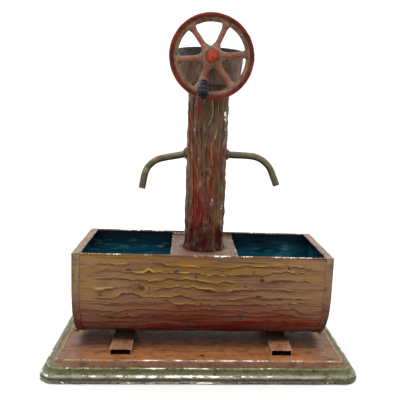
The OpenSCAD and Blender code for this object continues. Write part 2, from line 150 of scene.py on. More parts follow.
def grid(name, points, wrap=(False, False), caps=False, second=None, **marks):
    """A mesh through rows of points. Columns in the slice `second` take the second material."""
    rows, columns = points.shape[:2]
    index = np.arange(rows * columns).reshape(rows, columns)
    if wrap[0]:
        index = np.vstack([index, index[:1]])
    if wrap[1]:
        index = np.hstack([index, index[:, :1]])
    quads = np.stack([index[:-1, :-1], index[:-1, 1:], index[1:, 1:], index[1:, :-1]], -1)
    painted = np.zeros(quads.shape[:2], int)
    if second is not None:
        painted[:, second] = 1
    faces, painted = quads.reshape(-1, 4).tolist(), painted.ravel().tolist()
    if caps:
        faces += [index[0, :columns].tolist(), index[-1, :columns].tolist()[::-1]]
        painted += [0, 0]
    mesh = bpy.data.meshes.new(name)
    mesh.from_pydata((points.reshape(-1, 3) * MM).tolist(), [], faces)
    mesh.polygons.foreach_set("material_index", painted)
    for mark, values in marks.items():
        values = np.broadcast_to(values, (rows, columns)).astype(np.float32)
        mesh.attributes.new(mark, "FLOAT", "POINT").data.foreach_set("value", values.ravel())
    return new_object(name, mesh)


def spun(profile, steps):
    """Rows of points from a profile of (radius, height) turned round the Z axis."""
    turns = np.linspace(0, 2 * math.pi, steps, endpoint=False)[:, None]
    profile = np.array(profile, float)
    heights = np.broadcast_to(profile[:, 1], (steps, len(profile)))
    return np.stack([np.cos(turns) * profile[:, 0], np.sin(turns) * profile[:, 0], heights], -1)


def swept(section, path, across, up):
    """Rows of points from a flat section carried along a path. across and up are its two axes."""
    section, path = np.array(section, float), np.array(path, float)
    across, up = np.broadcast_to(across, path.shape), np.broadcast_to(up, path.shape)
    sideways = section[None, :, 0, None] * across[:, None]
    upward = section[None, :, 1, None] * up[:, None]
    return path[:, None] + sideways + upward


def pipe(path, across, outer, inner, steps=28):
    """Points of a pipe with a wall: out along its path and back inside. across is square to its plane."""
    path = np.array(path, float)
    along = np.gradient(path, axis=0)
    along /= np.linalg.norm(along, axis=1)[:, None]
    up = np.cross(np.broadcast_to(across, path.shape), along)
    outer, inner = np.broadcast_to(outer, len(path)), np.broadcast_to(inner, len(path))
    rings = []
    for turn in np.linspace(0, 2 * math.pi, steps, endpoint=False):
        way = math.cos(turn) * np.array(across) + math.sin(turn) * up
        rings.append(np.vstack([path + way * outer[:, None], (path + way * inner[:, None])[::-1]]))
    return np.array(rings)


def placed(points, origin, axis):
    """Points built round the Z axis, moved so that their Z axis starts at origin and runs along axis."""
    turn = np.array(Vector((0, 0, 1)).rotation_difference(Vector(axis)).to_matrix())
    return points @ turn.T + np.array(origin)


def joined(name, parts):
    """Several objects as one."""
    for thing in bpy.context.scene.objects:
        thing.select_set(thing in parts)
    bpy.context.view_layer.objects.active = parts[0]
    bpy.ops.object.join()
    parts[0].name = parts[0].data.name = name
    return parts[0]


def clean(thing, weld=0.002, outward=True):
    """Merges doubled points, drops faces with no area and turns the normals outward."""
    shape = bmesh.new()
    shape.from_mesh(thing.data)
    bmesh.ops.remove_doubles(shape, verts=shape.verts, dist=weld * MM)
    bmesh.ops.dissolve_degenerate(shape, edges=shape.edges, dist=1e-7)
    if outward:
        bmesh.ops.recalc_face_normals(shape, faces=shape.faces)
    shape.to_mesh(thing.data)
    shape.free()
    return thing


def modify(thing, kind, **settings):
    modifier = thing.modifiers.new(kind.lower(), kind)
    for key, value in settings.items():
        setattr(modifier, key, value)


def settled(thing, sharp=35):
    """Applies the piece's modifiers, shades it smooth and marks its sharp edges."""
    graph = bpy.context.evaluated_depsgraph_get()
    mesh = bpy.data.meshes.new_from_object(thing.evaluated_get(graph))
    thing.modifiers.clear()
    thing.data = mesh
    mesh.name = thing.name
    mesh.shade_smooth()
    mesh.set_sharp_from_angle(angle=math.radians(sharp))
    return thing


def drilled(thing, radius, length, axis, spots):
    """Cuts round holes of one size through a piece, each centred on a spot."""
    end = length / 2
    bar = spun([(0, -end), (radius, -end), (radius, end), (0, end)], 32)
    bars = [clean(grid("bar", placed(bar, spot, axis), wrap=(True, False))) for spot in spots]
    cutter = joined("cutter", bars)
    modify(thing, "BOOLEAN", object=cutter, operation="DIFFERENCE", solver="EXACT")
    settled(thing)
    bpy.data.objects.remove(cutter)
    return thing


def finish(thing, body, nodes, slot, *materials):
    """Gives a finished piece its materials, its body and the CAD nodes that it stands for.

    Dents that would reach outside the CAD model's box are held back to it."""
    spots = np.array([vertex.co for vertex in thing.data.vertices])
    spots = np.clip(spots, *np.array(cad_box)).astype(np.float32)
    thing.data.vertices.foreach_set("co", spots.ravel())
    thing.data.update()
    for material in materials:
        thing.data.materials.append(material)
    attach(thing, body)
    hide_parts(*nodes)
    return thing


# ---------------------------------------------------------------- material tools

def rgba(colour):
    """A hex colour as linear light, for a node's socket."""
    parts = [int(colour[k:k + 2], 16) / 255 for k in (1, 3, 5)]
    return [TONE * (p / 12.92 if p <= 0.04045 else ((p + 0.055) / 1.055) ** 2.4) for p in parts] + [1.0]


class Finish:
    """One procedural material. Most methods add a node and give back its output.

    paint, tint and stain change the colour so far, and done links everything to the shader."""

    def __init__(self, name, **constants):
        self.material = bpy.data.materials.new(name)
        self.material.use_nodes = True
        self.tree = self.material.node_tree
        self.shader = self.tree.nodes["Principled BSDF"]
        for socket, value in constants.items():
            self.shader.inputs[socket.replace("_", " ")].default_value = value
        self.place = self.add("TexCoord").outputs["Object"]

    def add(self, kind, inputs=None, **settings):
        node = self.tree.nodes.new("ShaderNode" + kind)
        for key, value in settings.items():
            setattr(node, key, value)
        for key, value in (inputs or {}).items():
            if isinstance(value, bpy.types.NodeSocket):
                self.tree.links.new(value, node.inputs[key])
            else:
                node.inputs[key].default_value = rgba(value) if isinstance(value, str) else value
        return node

    def noise(self, size, stretch=(1, 1, 1), detail=4.0, rough=0.55, shift=0.0):
        """Random values round 0.5 with spots of about `size` millimetres, stretched along the axes."""
        scale = [1 / (size * MM * s) for s in stretch]
        spot = self.add("Mapping", {"Vector": self.place, "Scale": scale, "Location": (shift,) * 3})
        return self.add("TexNoise", {"Vector": spot.outputs[0], "Scale": 1.0, "Detail": detail,
                                     "Roughness": rough}).outputs["Fac"]

    def mark(self, name):
        """A value that was stored on the mesh's points."""
        return self.add("Attribute", attribute_name=name).outputs["Fac"]

    def along(self, axis):
        """The place along X, Y or Z, in millimetres."""
        return self.times(self.add("SeparateXYZ", {0: self.place}).outputs[axis], 1 / MM)

    def off_middle(self, axis):
        """The distance from the model's middle plane along X or Y, in millimetres."""
        return self.math("ABSOLUTE", self.along(axis), 0.0)

    def math(self, operation, first, second):
        return self.add("Math", {0: first, 1: second}, operation=operation).outputs[0]

    def times(self, first, second):
        return self.math("MULTIPLY", first, second)

    def paint(self, share, shade):
        """Lays a shade over the colour so far."""
        self.colour = self.mix(share, self.colour, shade)

    def tint(self, shade, where, amount):
        """Lays a shade over the colour where the mask is, at most by the amount."""
        self.paint(self.times(where, amount), shade)

    def stain(self, share, shade):
        """Darkens the colour so far by a second colour."""
        self.colour = self.mix(share, self.colour, shade, "MULTIPLY")

    def step(self, value, low, high):
        """0 at low, 1 at high and a smooth change between them."""
        node = self.add("MapRange", {"Value": value, "From Min": low, "From Max": high},
                        interpolation_type="SMOOTHSTEP")
        return node.outputs[0]

    def mix(self, share, first, second, blend="MIX"):
        node = self.add("Mix", {0: share, 6: first, 7: second}, data_type="RGBA", blend_type=blend)
        return node.outputs[2]

    def ramp(self, value, *stops):
        """Colours along a value, from (value, colour) stops."""
        low, high = stops[0][0], stops[-1][0]
        share = self.add("MapRange", {"Value": value, "From Min": low, "From Max": high}).outputs[0]
        node = self.add("ValToRGB", {0: share})
        elements = node.color_ramp.elements
        while len(elements) < len(stops):
            elements.new(0.5)
        for element, (spot, colour) in zip(elements, stops):
            element.position, element.color = (spot - low) / (high - low), rgba(colour)
        return node.outputs["Color"]

    def chips(self, size, amount, stretch=(1, 1, 1), shift=0.0):
        """1 on small spots with ragged edges. amount is a value or a socket, more giving more spots."""
        level = self.math("SUBTRACT", 0.78, self.times(amount, 0.3))
        value = self.noise(size, stretch, detail=6, rough=0.62, shift=shift)
        return self.step(self.math("SUBTRACT", value, level), 0.0, 0.025)

    def done(self, rough, height, depth):
        """Links the colour, the roughness and a bump of the given depth in millimetres."""
        bump = self.add("Bump", {"Height": height, "Distance": depth * MM, "Strength": 1.0})
        for socket, value in (("Base Color", self.colour), ("Roughness", rough),
                              ("Normal", bump.outputs[0])):
            self.tree.links.new(value, self.shader.inputs[socket])
        return self.material

    def sheen_of(self, low, high, size=4):
        """Roughness between low and high that changes in blotches."""
        blotches = self.noise(size, detail=5)
        node = self.add("MapRange", {"Value": blotches, "From Min": 0.3, "From Max": 0.7,
                                     "To Min": low, "To Max": high})
        return node.outputs[0]


# ---------------------------------------------------------------- materials

TIN = "#efece2"
RUST = "#2b2320"


def worn(f, edge, size=1.4, scratch=(1, 1, 1)):
    """Paint with dark rust spots and bare tin where the edge mark is strong."""
    dull = f.chips(size * 1.8, edge, scratch, shift=5)
    bare = f.chips(size, edge, scratch)
    f.tint(RUST, dull, 0.8)
    f.paint(bare, TIN)


def trough_paint():
    """Sprayed golden brown over dark red, with yellow strokes on the embossed ridges, and painted shade in
    the grooves and on each plank just below them.
    """
    f = Finish("trough_paint", Specular_IOR_Level=0.07)
    height = f.math("ADD", f.along("Z"), f.times(f.noise(16, (3, 1, 1)), 8.0))
    f.colour = f.ramp(height, (18, "#480402"), (24, "#6a0f08"), (31, "#763426"), (40, "#80543f"),
                      (52, "#85603c"), (64, "#8a6236"), (72, "#87683f"))
    ends = f.step(f.off_middle("X"), 12, 62)
    f.tint("#b8987a", ends, 0.28)
    pink = f.step(f.noise(15, (3, 1, 0.5), shift=3), 0.48, 0.6)
    f.tint("#876150", pink, 0.55)
    # painted shade: each plank is darker just below its groove and lighter towards the next ridge
    f.tint("#65382a", f.step(f.mark("plank"), 0.6, 0.05), 0.45)
    golden = f.step(f.noise(9, (4, 1, 0.5), shift=8), 0.5, 0.62)
    golden = f.times(golden, f.step(f.along("Z"), 26, 44))
    f.tint("#966c2c", golden, 0.5)
    red = f.times(f.step(f.noise(3, (12, 1, 0.6), shift=5), 0.48, 0.58), f.step(f.along("Z"), 44, 26))
    f.tint("#86180c", red, 0.8)
    streaks = f.noise(1.0, (18, 1.5, 0.8), detail=5)
    f.stain(0.8, f.ramp(streaks, (0.3, "#7a6c60"), (0.5, "#ffffff"), (0.7, "#fff0d8")))
    scratches = f.step(f.noise(0.9, (9, 1, 0.7), detail=4, shift=17), 0.6, 0.66)
    f.tint("#3f2a1c", scratches, 0.55)
    lit = f.step(f.noise(5, (5, 1, 1), shift=2), 0.4, 0.58)
    stroke = f.times(f.mark("line"), lit)
    stroke_colour = f.mix(f.step(f.along("Z"), 26, 50), "#8f4a30", "#b59c46")
    f.tint(stroke_colour, stroke, 0.85)
    # painted shade: the grain's grooves are darkened nearly black
    f.tint("#33190f", f.mark("shaded_groove"), 0.85)
    ring = f.times(f.mark("ring"), f.step(f.noise(1.4, shift=30), 0.42, 0.62))
    f.tint("#8a6d45", ring, 0.3)
    f.tint("#362a1b", f.step(f.mark("knot"), 0.1, 0.9), 0.8)
    ragged = f.times(f.math("SUBTRACT", f.noise(0.7, (1.8, 1, 1), detail=6), 0.5), 3.2)
    chip = f.math("ADD", f.mark("chip"), ragged)
    around_chip = f.times(f.step(chip, 0.35, 0.5), f.step(f.mark("chip"), 0.02, 0.15))
    f.paint(around_chip, "#2e2825")
    f.tint("#a09b92", f.step(chip, 0.95, 1.1), 0.75)
    worn(f, f.mark("edge"), 0.9)
    grain_bump = f.noise(0.8, (6, 2, 1), detail=6)
    return f.done(f.sheen_of(0.4, 0.6), grain_bump, 0.15)


def trough_lining():
    """Dark blue paint inside, brushed on along the trough and more teal towards the bottom; its darkening
    to near black at the top is painted shade.
    """
    f = Finish("trough_lining", Specular_IOR_Level=0.06)
    height = f.math("ADD", f.along("Z"), f.times(f.noise(8, (2, 1, 1)), 12.0))
    # painted shade: the lining darkens to near black towards the top, under the trough's rim
    f.colour = f.ramp(height, (20, "#2aa2b8"), (44, "#248ba0"), (56, "#1c6478"), (64, "#13303f"),
                      (74, "#12131f"))
    brush = f.noise(1.8, (9, 1, 1), detail=4)
    f.stain(0.8, f.ramp(brush, (0.32, "#3c4448"), (0.5, "#e8f0f0"), (0.7, "#ffffff")))
    pale = f.times(f.step(f.noise(3, (5, 1, 1), shift=6), 0.54, 0.66), f.step(f.along("Z"), 62, 50))
    f.tint("#78aeb4", pale, 0.5)
    flakes = f.chips(1.2, 0.25, (2, 1, 1))
    f.tint("#6d8a8c", flakes, 0.5)
    return f.done(f.sheen_of(0.25, 0.45), brush, 0.08)


def end_paint():
    """The caps: dusty tan with yellow strokes, gone dark and worn through along every edge."""
    f = Finish("end_paint", Specular_IOR_Level=0.07)
    height = f.math("ADD", f.along("Z"), f.times(f.noise(9), 12.0))
    f.colour = f.ramp(height, (20, "#4f1a15"), (32, "#6b3c30"), (46, "#80604c"), (64, "#8a6f55"),
                      (76, "#9b8472"))
    yellow = f.step(f.noise(4, (1, 1, 4), shift=4), 0.52, 0.64)
    f.tint("#93803e", yellow, 0.45)
    dirt = f.noise(3, detail=6)
    f.stain(0.7, f.ramp(dirt, (0.32, "#6a5d52"), (0.52, "#ffffff")))
    f.tint("#34343a", f.step(f.mark("edge"), 0.4, 0.75), 0.55)
    dark = f.chips(2.6, f.times(f.mark("edge"), 1.5), shift=11)
    f.tint("#2e2c30", dark, 0.9)
    worn(f, f.times(f.mark("edge"), 0.75), 1.3)
    return f.done(f.sheen_of(0.4, 0.65), f.noise(0.7, detail=6), 0.1)


def bridge_paint():
    """Dusty pink-tan, rubbed, with painted shade round the column's foot."""
    f = Finish("bridge_paint", Specular_IOR_Level=0.07)
    f.colour = f.ramp(f.noise(11, (1, 1, 1)), (0.3, "#674f42"), (0.5, "#785d4e"), (0.7, "#856a5a"))
    dirt = f.noise(2.2, detail=6)
    f.stain(0.6, f.ramp(dirt, (0.3, "#6b5748"), (0.5, "#ffffff")))
    # painted shade round the column's foot
    f.tint("#3f2a22", f.mark("grime"), 0.8)
    worn(f, f.mark("edge"), 1.2)
    return f.done(f.sheen_of(0.4, 0.65), f.noise(0.8, detail=6), 0.1)


def bark_paint():
    """Olive brown and dark red in long streaks down the embossed bark, plain dark red at the foot, with
    painted shade in the grooves.
    """
    f = Finish("bark_paint", Specular_IOR_Level=0.07)
    height = f.math("ADD", f.along("Z"), f.times(f.noise(10, (1, 1, 2)), 24.0))
    f.colour = f.ramp(height, (80, "#3e0502"), (98, "#58200f"), (114, "#673b24"), (136, "#62442f"),
                      (172, "#594232"))
    foot = f.step(f.along("Z"), 72, 84)
    red = f.times(f.step(f.noise(3.4, (1, 1, 11), detail=3, shift=6), 0.51, 0.57), foot)
    f.tint("#7c1b10", red, 0.9)
    olive = f.times(f.step(f.noise(3.8, (1, 1, 9), detail=3, shift=1), 0.5, 0.58), foot)
    f.tint("#5c522c", olive, 0.7)
    grey = f.times(f.step(f.noise(3, (1, 1, 8), shift=14), 0.54, 0.66), foot)
    f.tint("#77655a", grey, 0.5)
    orange = f.times(f.step(f.noise(2.4, (1, 1, 10), shift=21), 0.53, 0.62), f.step(f.along("Z"), 130, 95))
    f.tint("#86431f", orange, 0.7)
    streaks = f.noise(1.1, (1, 1, 14), detail=5)
    f.stain(0.85, f.ramp(streaks, (0.32, "#4c443e"), (0.5, "#ffffff"), (0.7, "#fff2dc")))
    lit = f.times(f.step(f.noise(2.4, (1, 1, 9), shift=9), 0.45, 0.56), foot)
    stroke = f.times(f.mark("line"), lit)
    stroke_colour = f.mix(f.step(f.along("Z"), 90, 125), "#9a6034", "#9c8334")
    f.tint(stroke_colour, stroke, 0.9)
    # painted shade: the bark's grooves are darkened nearly black
    f.tint("#1c0f0a", f.mark("shaded_groove"), 0.85)
    ring = f.times(f.mark("ring"), f.step(f.noise(1.6, shift=30), 0.4, 0.6))
    f.tint("#7a5a4a", ring, 0.5)
    f.tint("#241a24", f.step(f.mark("knot"), 0.15, 0.8), 0.9)
    dusty = f.step(f.noise(3, (1, 1, 3), shift=12), 0.42, 0.6)
    f.tint("#9d9384", f.times(dusty, f.mark("edge")), 0.7)
    worn(f, f.mark("edge"), 1.4)
    return f.done(f.sheen_of(0.32, 0.5), f.noise(0.7, (1, 1, 6), detail=6), 0.12)


def cup_paint():
    """Greyed pink-brown with blue-black chips."""
    f = Finish("cup_paint", Specular_IOR_Level=0.07)
    f.colour = f.ramp(f.noise(7, (1, 1, 2)), (0.3, "#5c4036"), (0.5, "#76584a"), (0.7, "#8c7260"))
    streaks = f.noise(0.9, (1, 1, 6), detail=5)
    f.stain(0.7, f.ramp(streaks, (0.3, "#6a6058"), (0.52, "#ffffff")))
    dark = f.chips(3.0, 0.5, shift=4)
    f.tint("#22232e", dark, 0.9)
    pale = f.chips(1.2, 0.35, shift=7)
    f.tint("#a09082", pale, 0.6)
    return f.done(f.sheen_of(0.35, 0.6), f.noise(0.8, (1, 1, 3), detail=6), 0.12)


def band_paint():
    """Nearly black, speckled band."""
    f = Finish("band_paint", Specular_IOR_Level=0.15)
    f.colour = f.ramp(f.noise(2.5), (0.35, "#211d1c"), (0.6, "#3f3733"), (0.75, "#574b44"))
    specks = f.chips(0.8, 0.5, shift=2)
    f.tint("#9b9184", specks, 0.7)
    rust = f.chips(1.6, 0.4, shift=9)
    f.tint("#5a3426", rust, 0.6)
    return f.done(f.sheen_of(0.35, 0.6, 2), f.noise(0.6, detail=6), 0.1)


def base_paint():
    """Orange-brown panel, pinkish slope, green and cream moulding, and a foot worn to the tin, with a
    painted shadow under the trough and painted shade inside the rails.
    """
    f = Finish("base_paint", Specular_IOR_Level=0.07)
    walk = f.math("ADD", f.mark("walk"), f.times(f.math("SUBTRACT", f.noise(3, (2, 2, 1)), 0.5), 1.2))
    f.colour = f.ramp(walk, (0.3, "#b07448"), (1.4, "#a88c6c"), (2.8, "#7a5138"), (5.6, "#80604a"),
                      (6.8, "#a09e74"), (8.0, "#6a7044"), (9.6, "#7a7656"), (10.8, "#a09a80"),
                      (12.4, "#beb69e"), (13.4, "#565446"), (15.2, "#7a7664"), (17.0, "#2b2926"))
    panel = f.step(f.mark("walk"), 0.9, 0.2)
    far_x = f.off_middle("X")
    pink = f.times(panel, f.step(f.math("ADD", far_x, f.times(f.noise(8), 16.0)), 60, 80))
    f.tint("#80604f", pink, 0.85)
    streaks = f.noise(1.5, (20, 1, 1), detail=4)
    red = f.times(f.step(streaks, 0.52, 0.62), panel)
    f.tint("#6f3018", red, 0.5)
    far_y = f.off_middle("Y")
    # painted shadow of the trough, with some dust, darkens the panel under it
    shadow_and_dust_under_trough = f.times(f.step(far_y, 27, 17), f.step(far_x, 72, 66))
    f.tint("#33303a", f.times(shadow_and_dust_under_trough, panel), 0.6)
    # painted shade: the panel inside each rail's tunnel is near black
    rail_x, rail_half, rail_end = 44.5, 5.5, 32.8
    from_rail = f.math("ABSOLUTE", f.math("SUBTRACT", far_x, rail_x), 0.0)
    shade_in_rail_tunnel = f.times(f.step(from_rail, rail_half, 5.2), f.step(far_y, rail_end, 32.4))
    f.tint("#0c0a0c", shade_in_rail_tunnel, 0.95)
    corner = f.step(f.math("ADD", far_x, far_y), 106, 122)
    green = f.times(f.math("MAXIMUM", corner, f.step(far_x, 70, 80)), f.step(f.mark("walk"), 1.5, 4))
    green = f.times(green, f.step(f.noise(7, detail=5, shift=3), 0.35, 0.55))
    f.tint("#858c68", green, 0.6)
    dirt = f.noise(2.4, (2, 2, 1), detail=6)
    f.stain(0.65, f.ramp(dirt, (0.3, "#6c6258"), (0.52, "#ffffff")))
    moulding = f.step(f.mark("walk"), 1, 7)
    specks = f.ramp(f.noise(0.9, (1.6, 1.6, 1), detail=6, shift=9), (0.36, "#5a5448"), (0.47, "#ffffff"))
    f.stain(f.times(moulding, 0.8), specks)
    grime = f.chips(1.1, f.times(f.mark("grime"), 1.2), (2, 2, 1), shift=6)
    f.tint("#26241f", grime, 0.8)
    dots = f.chips(0.6, f.times(f.mark("edge"), 1.3), (1.5, 1.5, 1), shift=3)
    f.tint("#b3ad93", dots, 0.8)
    worn(f, f.mark("edge"), 2.1, scratch=(2, 2, 1))
    return f.done(f.sheen_of(0.35, 0.6), f.noise(0.9, (3, 1, 1), detail=6), 0.1)


def rail_paint():
    """Orange-brown, scuffed along the folds, with a painted shadow where the trough sits over the rail."""
    f = Finish("rail_paint", Specular_IOR_Level=0.07)
    f.colour = f.ramp(f.noise(8, (1, 2, 1)), (0.3, "#9c6a4a"), (0.55, "#bd8a66"), (0.7, "#c99c7c"))
    dirt = f.noise(1.4, (1, 3, 1), detail=6)
    f.stain(0.65, f.ramp(dirt, (0.32, "#5d4c40"), (0.52, "#ffffff")))
    # painted shadow: the rail is darkened where the trough sits over it
    trough_shadow_on_rail = f.step(f.off_middle("Y"), 24, 18)
    f.tint("#16121a", trough_shadow_on_rail, 0.85)
    worn(f, f.mark("edge"), 1.0)
    return f.done(f.sheen_of(0.4, 0.65), f.noise(0.7, detail=6), 0.1)


def painted_shade_inside():
    """Dark tin on the hidden sides of the sheets, painted nearly black as the shade inside the rails and
    the column.
    """
    f = Finish("painted_shade_inside", Specular_IOR_Level=0.07)
    f.colour = f.ramp(f.noise(6, detail=6), (0.3, "#1d1a18"), (0.55, "#3a332e"), (0.75, "#574a40"))
    return f.done(f.sheen_of(0.5, 0.75), f.noise(1, detail=6), 0.08)


def wheel_paint():
    """Brick red, thin over a tan ground that shows on the high spots, with a painted highlight on the
    spokes' upper sides.
    """
    f = Finish("wheel_paint", Specular_IOR_Level=0.07)
    f.colour = f.ramp(f.noise(5), (0.3, "#4c1d14"), (0.5, "#66271c"), (0.7, "#793526"))
    f.tint("#a96a58", f.mark("spoke"), 0.6)
    # the tan mark also holds a painted highlight on the spokes' upward-facing sides
    tan = f.times(f.mark("tan"), f.step(f.noise(3, detail=5, shift=2), 0.22, 0.46))
    f.tint("#927860", tan, 0.95)
    olive = f.times(f.mark("tan"), f.step(f.noise(4, shift=7), 0.46, 0.6))
    f.tint("#5d5138", olive, 0.75)
    bright = f.times(f.mark("red"), f.step(f.noise(2.4, shift=5), 0.3, 0.55))
    f.tint("#b8482c", bright, 0.8)
    dirt = f.noise(1.3, detail=6)
    f.stain(0.6, f.ramp(dirt, (0.3, "#5f5148"), (0.5, "#ffffff")))
    f.paint(f.chips(1.0, 0.3, shift=3), "#2f1f18")
    return f.done(f.sheen_of(0.25, 0.45, 3), f.noise(0.8, detail=6), 0.15)


def old_brass():
    """Brass gone olive, with brighter rubbed spots and painted shade on the undersides."""
    f = Finish("old_brass", Metallic=0.45)
    f.colour = f.ramp(f.noise(4, (2, 1, 1), detail=5), (0.3, "#3e3722"), (0.5, "#5c5030"),
                      (0.72, "#837750"))
    # painted shade: darker on the spouts' undersides
    f.tint("#1d1810", f.mark("under"), 0.75)
    spots = f.chips(0.9, 0.35, shift=2)
    f.tint("#3a2f20", spots, 0.6)
    return f.done(f.sheen_of(0.22, 0.42, 2), f.noise(0.6, detail=5), 0.06)


def solder():
    """Dark solder with traces of bark paint."""
    f = Finish("solder", Metallic=0.2, Specular_IOR_Level=0.2)
    f.colour = f.ramp(f.noise(1.6, detail=5), (0.32, "#241a14"), (0.52, "#4c3a2a"), (0.7, "#766a50"))
    return f.done(f.sheen_of(0.35, 0.6, 2), f.noise(0.7, detail=5), 0.1)


def metal(name, dark, middle, light, low, high, metallic=1.0):
    """A plain metal with tarnish in blotches and fine turning marks."""
    f = Finish(name, Metallic=metallic)
    f.colour = f.ramp(f.noise(3, detail=6), (0.3, dark), (0.5, middle), (0.7, light))
    spots = f.chips(0.8, 0.3, shift=3)
    f.tint(dark, spots, 0.5)
    return f.done(f.sheen_of(low, high, 2), f.noise(0.35, (4, 4, 1), detail=4), 0.03)


def grip_enamel():
    """Thick blue-black enamel, chipped at the neck."""
    f = Finish("grip_enamel", Specular_IOR_Level=0.14)
    f.colour = f.ramp(f.noise(2.5), (0.35, "#050609"), (0.6, "#0b121e"), (0.72, "#1f3852"))
    chips = f.chips(0.9, f.times(f.mark("edge"), 1.1))
    f.paint(chips, "#8d8478")
    return f.done(f.sheen_of(0.18, 0.35, 2), f.noise(0.8, detail=4), 0.12)


def leather():
    """Oiled cup leather."""
    f = Finish("leather", Specular_IOR_Level=0.07)
    f.colour = f.ramp(f.noise(1.5, detail=6), (0.3, "#5a3d22"), (0.6, "#8a6540"), (0.75, "#9c774f"))
    sheen = f.sheen_of(0.5, 0.7, 1)
    pores = f.add("TexVoronoi", {"Vector": f.place, "Scale": 2500.0}).outputs["Distance"]
    return f.done(sheen, pores, 0.05)


def floor_cloth():
    """The pale studio floor."""
    f = Finish("floor_white", Specular_IOR_Level=0.1)
    f.colour = f.ramp(f.noise(90), (0.3, "#dededd"), (0.7, "#e2e2e1"))
    return f.done(f.sheen_of(0.8, 0.9, 50), f.noise(3), 0.01)


# ---------------------------------------------------------------- pieces

MOULDING = 10            # width of the base's moulding
BEAD = 0.5               # how far the bead stands above the panel


def base_tray():
    """The pressed base: a flat panel, a stepped moulding all round and a rolled foot."""
    high = extent("base_plate")[1]
    half_w, half_d = high[:2] - MOULDING
    top = high[2] - BEAD
    outline = evenly(
        [(0, top)] + arc((1.2, top - 0.1), BEAD + 0.1, 170, 10, 8)
        + [(2.0, top - 0.5), (3.4, top - 1.5), (4.7, top - 2.1)]
        + arc((5.5, top - 2.5), 0.65, 140, -20, 8)
        + [(6.3, 5.2), (6.8, 4.3)] + arc((7.6, 2.4), 1.9, 100, 30, 8) + [(9.35, 2.6), (9.3, 1.6)]
        + arc((MOULDING - 0.68, 0.68), 0.65, 80, -170, 12), 0.42, 0.5)
    step = 1.2
    across, deep = round(2 * half_w / step), round(2 * half_d / step)
    turns, centres = [], []
    for quarter in range(4):
        side_x, side_y = (1, -1, -1, 1)[quarter], (1, 1, -1, -1)[quarter]
        corner = np.array([side_x * half_w, side_y * half_d])
        following = corner * ((-1, 1) if quarter % 2 == 0 else (1, -1))
        for turn in np.linspace(0, 90, 15):
            turns.append(quarter * 90 + turn)
            centres.append(corner)
        for share in np.linspace(0, 1, (across if quarter % 2 == 0 else deep) + 1)[1:-1]:
            turns.append(quarter * 90 + 90)
            centres.append(corner + (following - corner) * share)
    turns, centres = np.radians(turns), np.array(centres)
    ways = np.stack([np.cos(turns), np.sin(turns)], 1)
    flat = centres[:, None] + ways[:, None] * outline[None, :, :1]
    heights = np.broadcast_to(outline[:, 1], flat.shape[:2])
    border = np.dstack([flat, heights])
    out = np.broadcast_to(outline[:, 0], heights.shape)
    walk = np.concatenate([[0], np.cumsum(np.linalg.norm(np.diff(outline, axis=0), axis=1))])
    dents = 0.13 * waves(border, (9, 9, 30), 3) + 0.06 * waves(border, (3, 3, 6), 4)
    border[..., :2] += (dents * smoothstep(out, 0, 3))[..., None] * ways[:, None]
    edge = (0.85 * hump(walk, 1.5, 0.9) + 0.75 * hump(walk, 6.9, 1.0) + 1.0 * hump(walk, 11.8, 1.5)
            + 0.9 * hump(walk, 15.4, 1.3))
    rubbed = 0.7 + 0.35 * smoothstep(np.abs(border[..., 0]), 60, 30) + 0.3 * waves(border, (22, 22, 30), 8)
    edge = np.clip(edge * rubbed, 0, 1.2)
    grime = 0.3 + 0.3 * hump(walk, 13.3, 0.8) + 0.4 * hump(walk, 15.5, 2) + 0.3 * hump(walk, 2.4, 0.6)
    walk, grime = np.broadcast_to(walk, edge.shape), np.broadcast_to(grime, edge.shape)
    side = grid("side", border, wrap=(True, False), walk=walk, edge=edge, grime=grime)

    x, y = np.meshgrid(np.linspace(-half_w, half_w, across + 1), np.linspace(-half_d, half_d, deep + 1),
                       indexing="ij")
    panel_points = np.dstack([x, y, np.full_like(x, top)])
    scuffs = 0.25 * np.clip(waves(panel_points, (14, 5, 9), 12), 0, 1)
    panel = grid("panel", panel_points, walk=0.0, edge=scuffs, grime=0.15)
    tray = clean(joined("base_tray", [panel, side]), outward=False)

    points = np.array([v.co for v in tray.data.vertices]) / MM
    sag = 0.12 * waves(points * (1, 1, 0), (34, 22, 9), 5)
    for vertex, drop, point in zip(tray.data.vertices, sag, points):
        vertex.co.z = max(0.0, point[2] + drop * min(1, point[2] / top)) * MM
    modify(tray, "SOLIDIFY", thickness=0.4 * MM, offset=-1.0)
    settled(tray)
    lifted = np.array([v.co for v in tray.data.vertices])
    for vertex, height in zip(tray.data.vertices, lifted[:, 2]):
        vertex.co.z = max(0.0, height)
    hole_r, hole_x, hole_y = 1.25, 74, 33
    spots = [(hole_x, 0, top), (-hole_x, 0, top), (0, hole_y, top), (0, -hole_y, top)]
    drilled(tray, hole_r, 4, (0, 0, 1), spots)
    return finish(tray, "stand", ["base_plate"], "base_paint", base_paint())


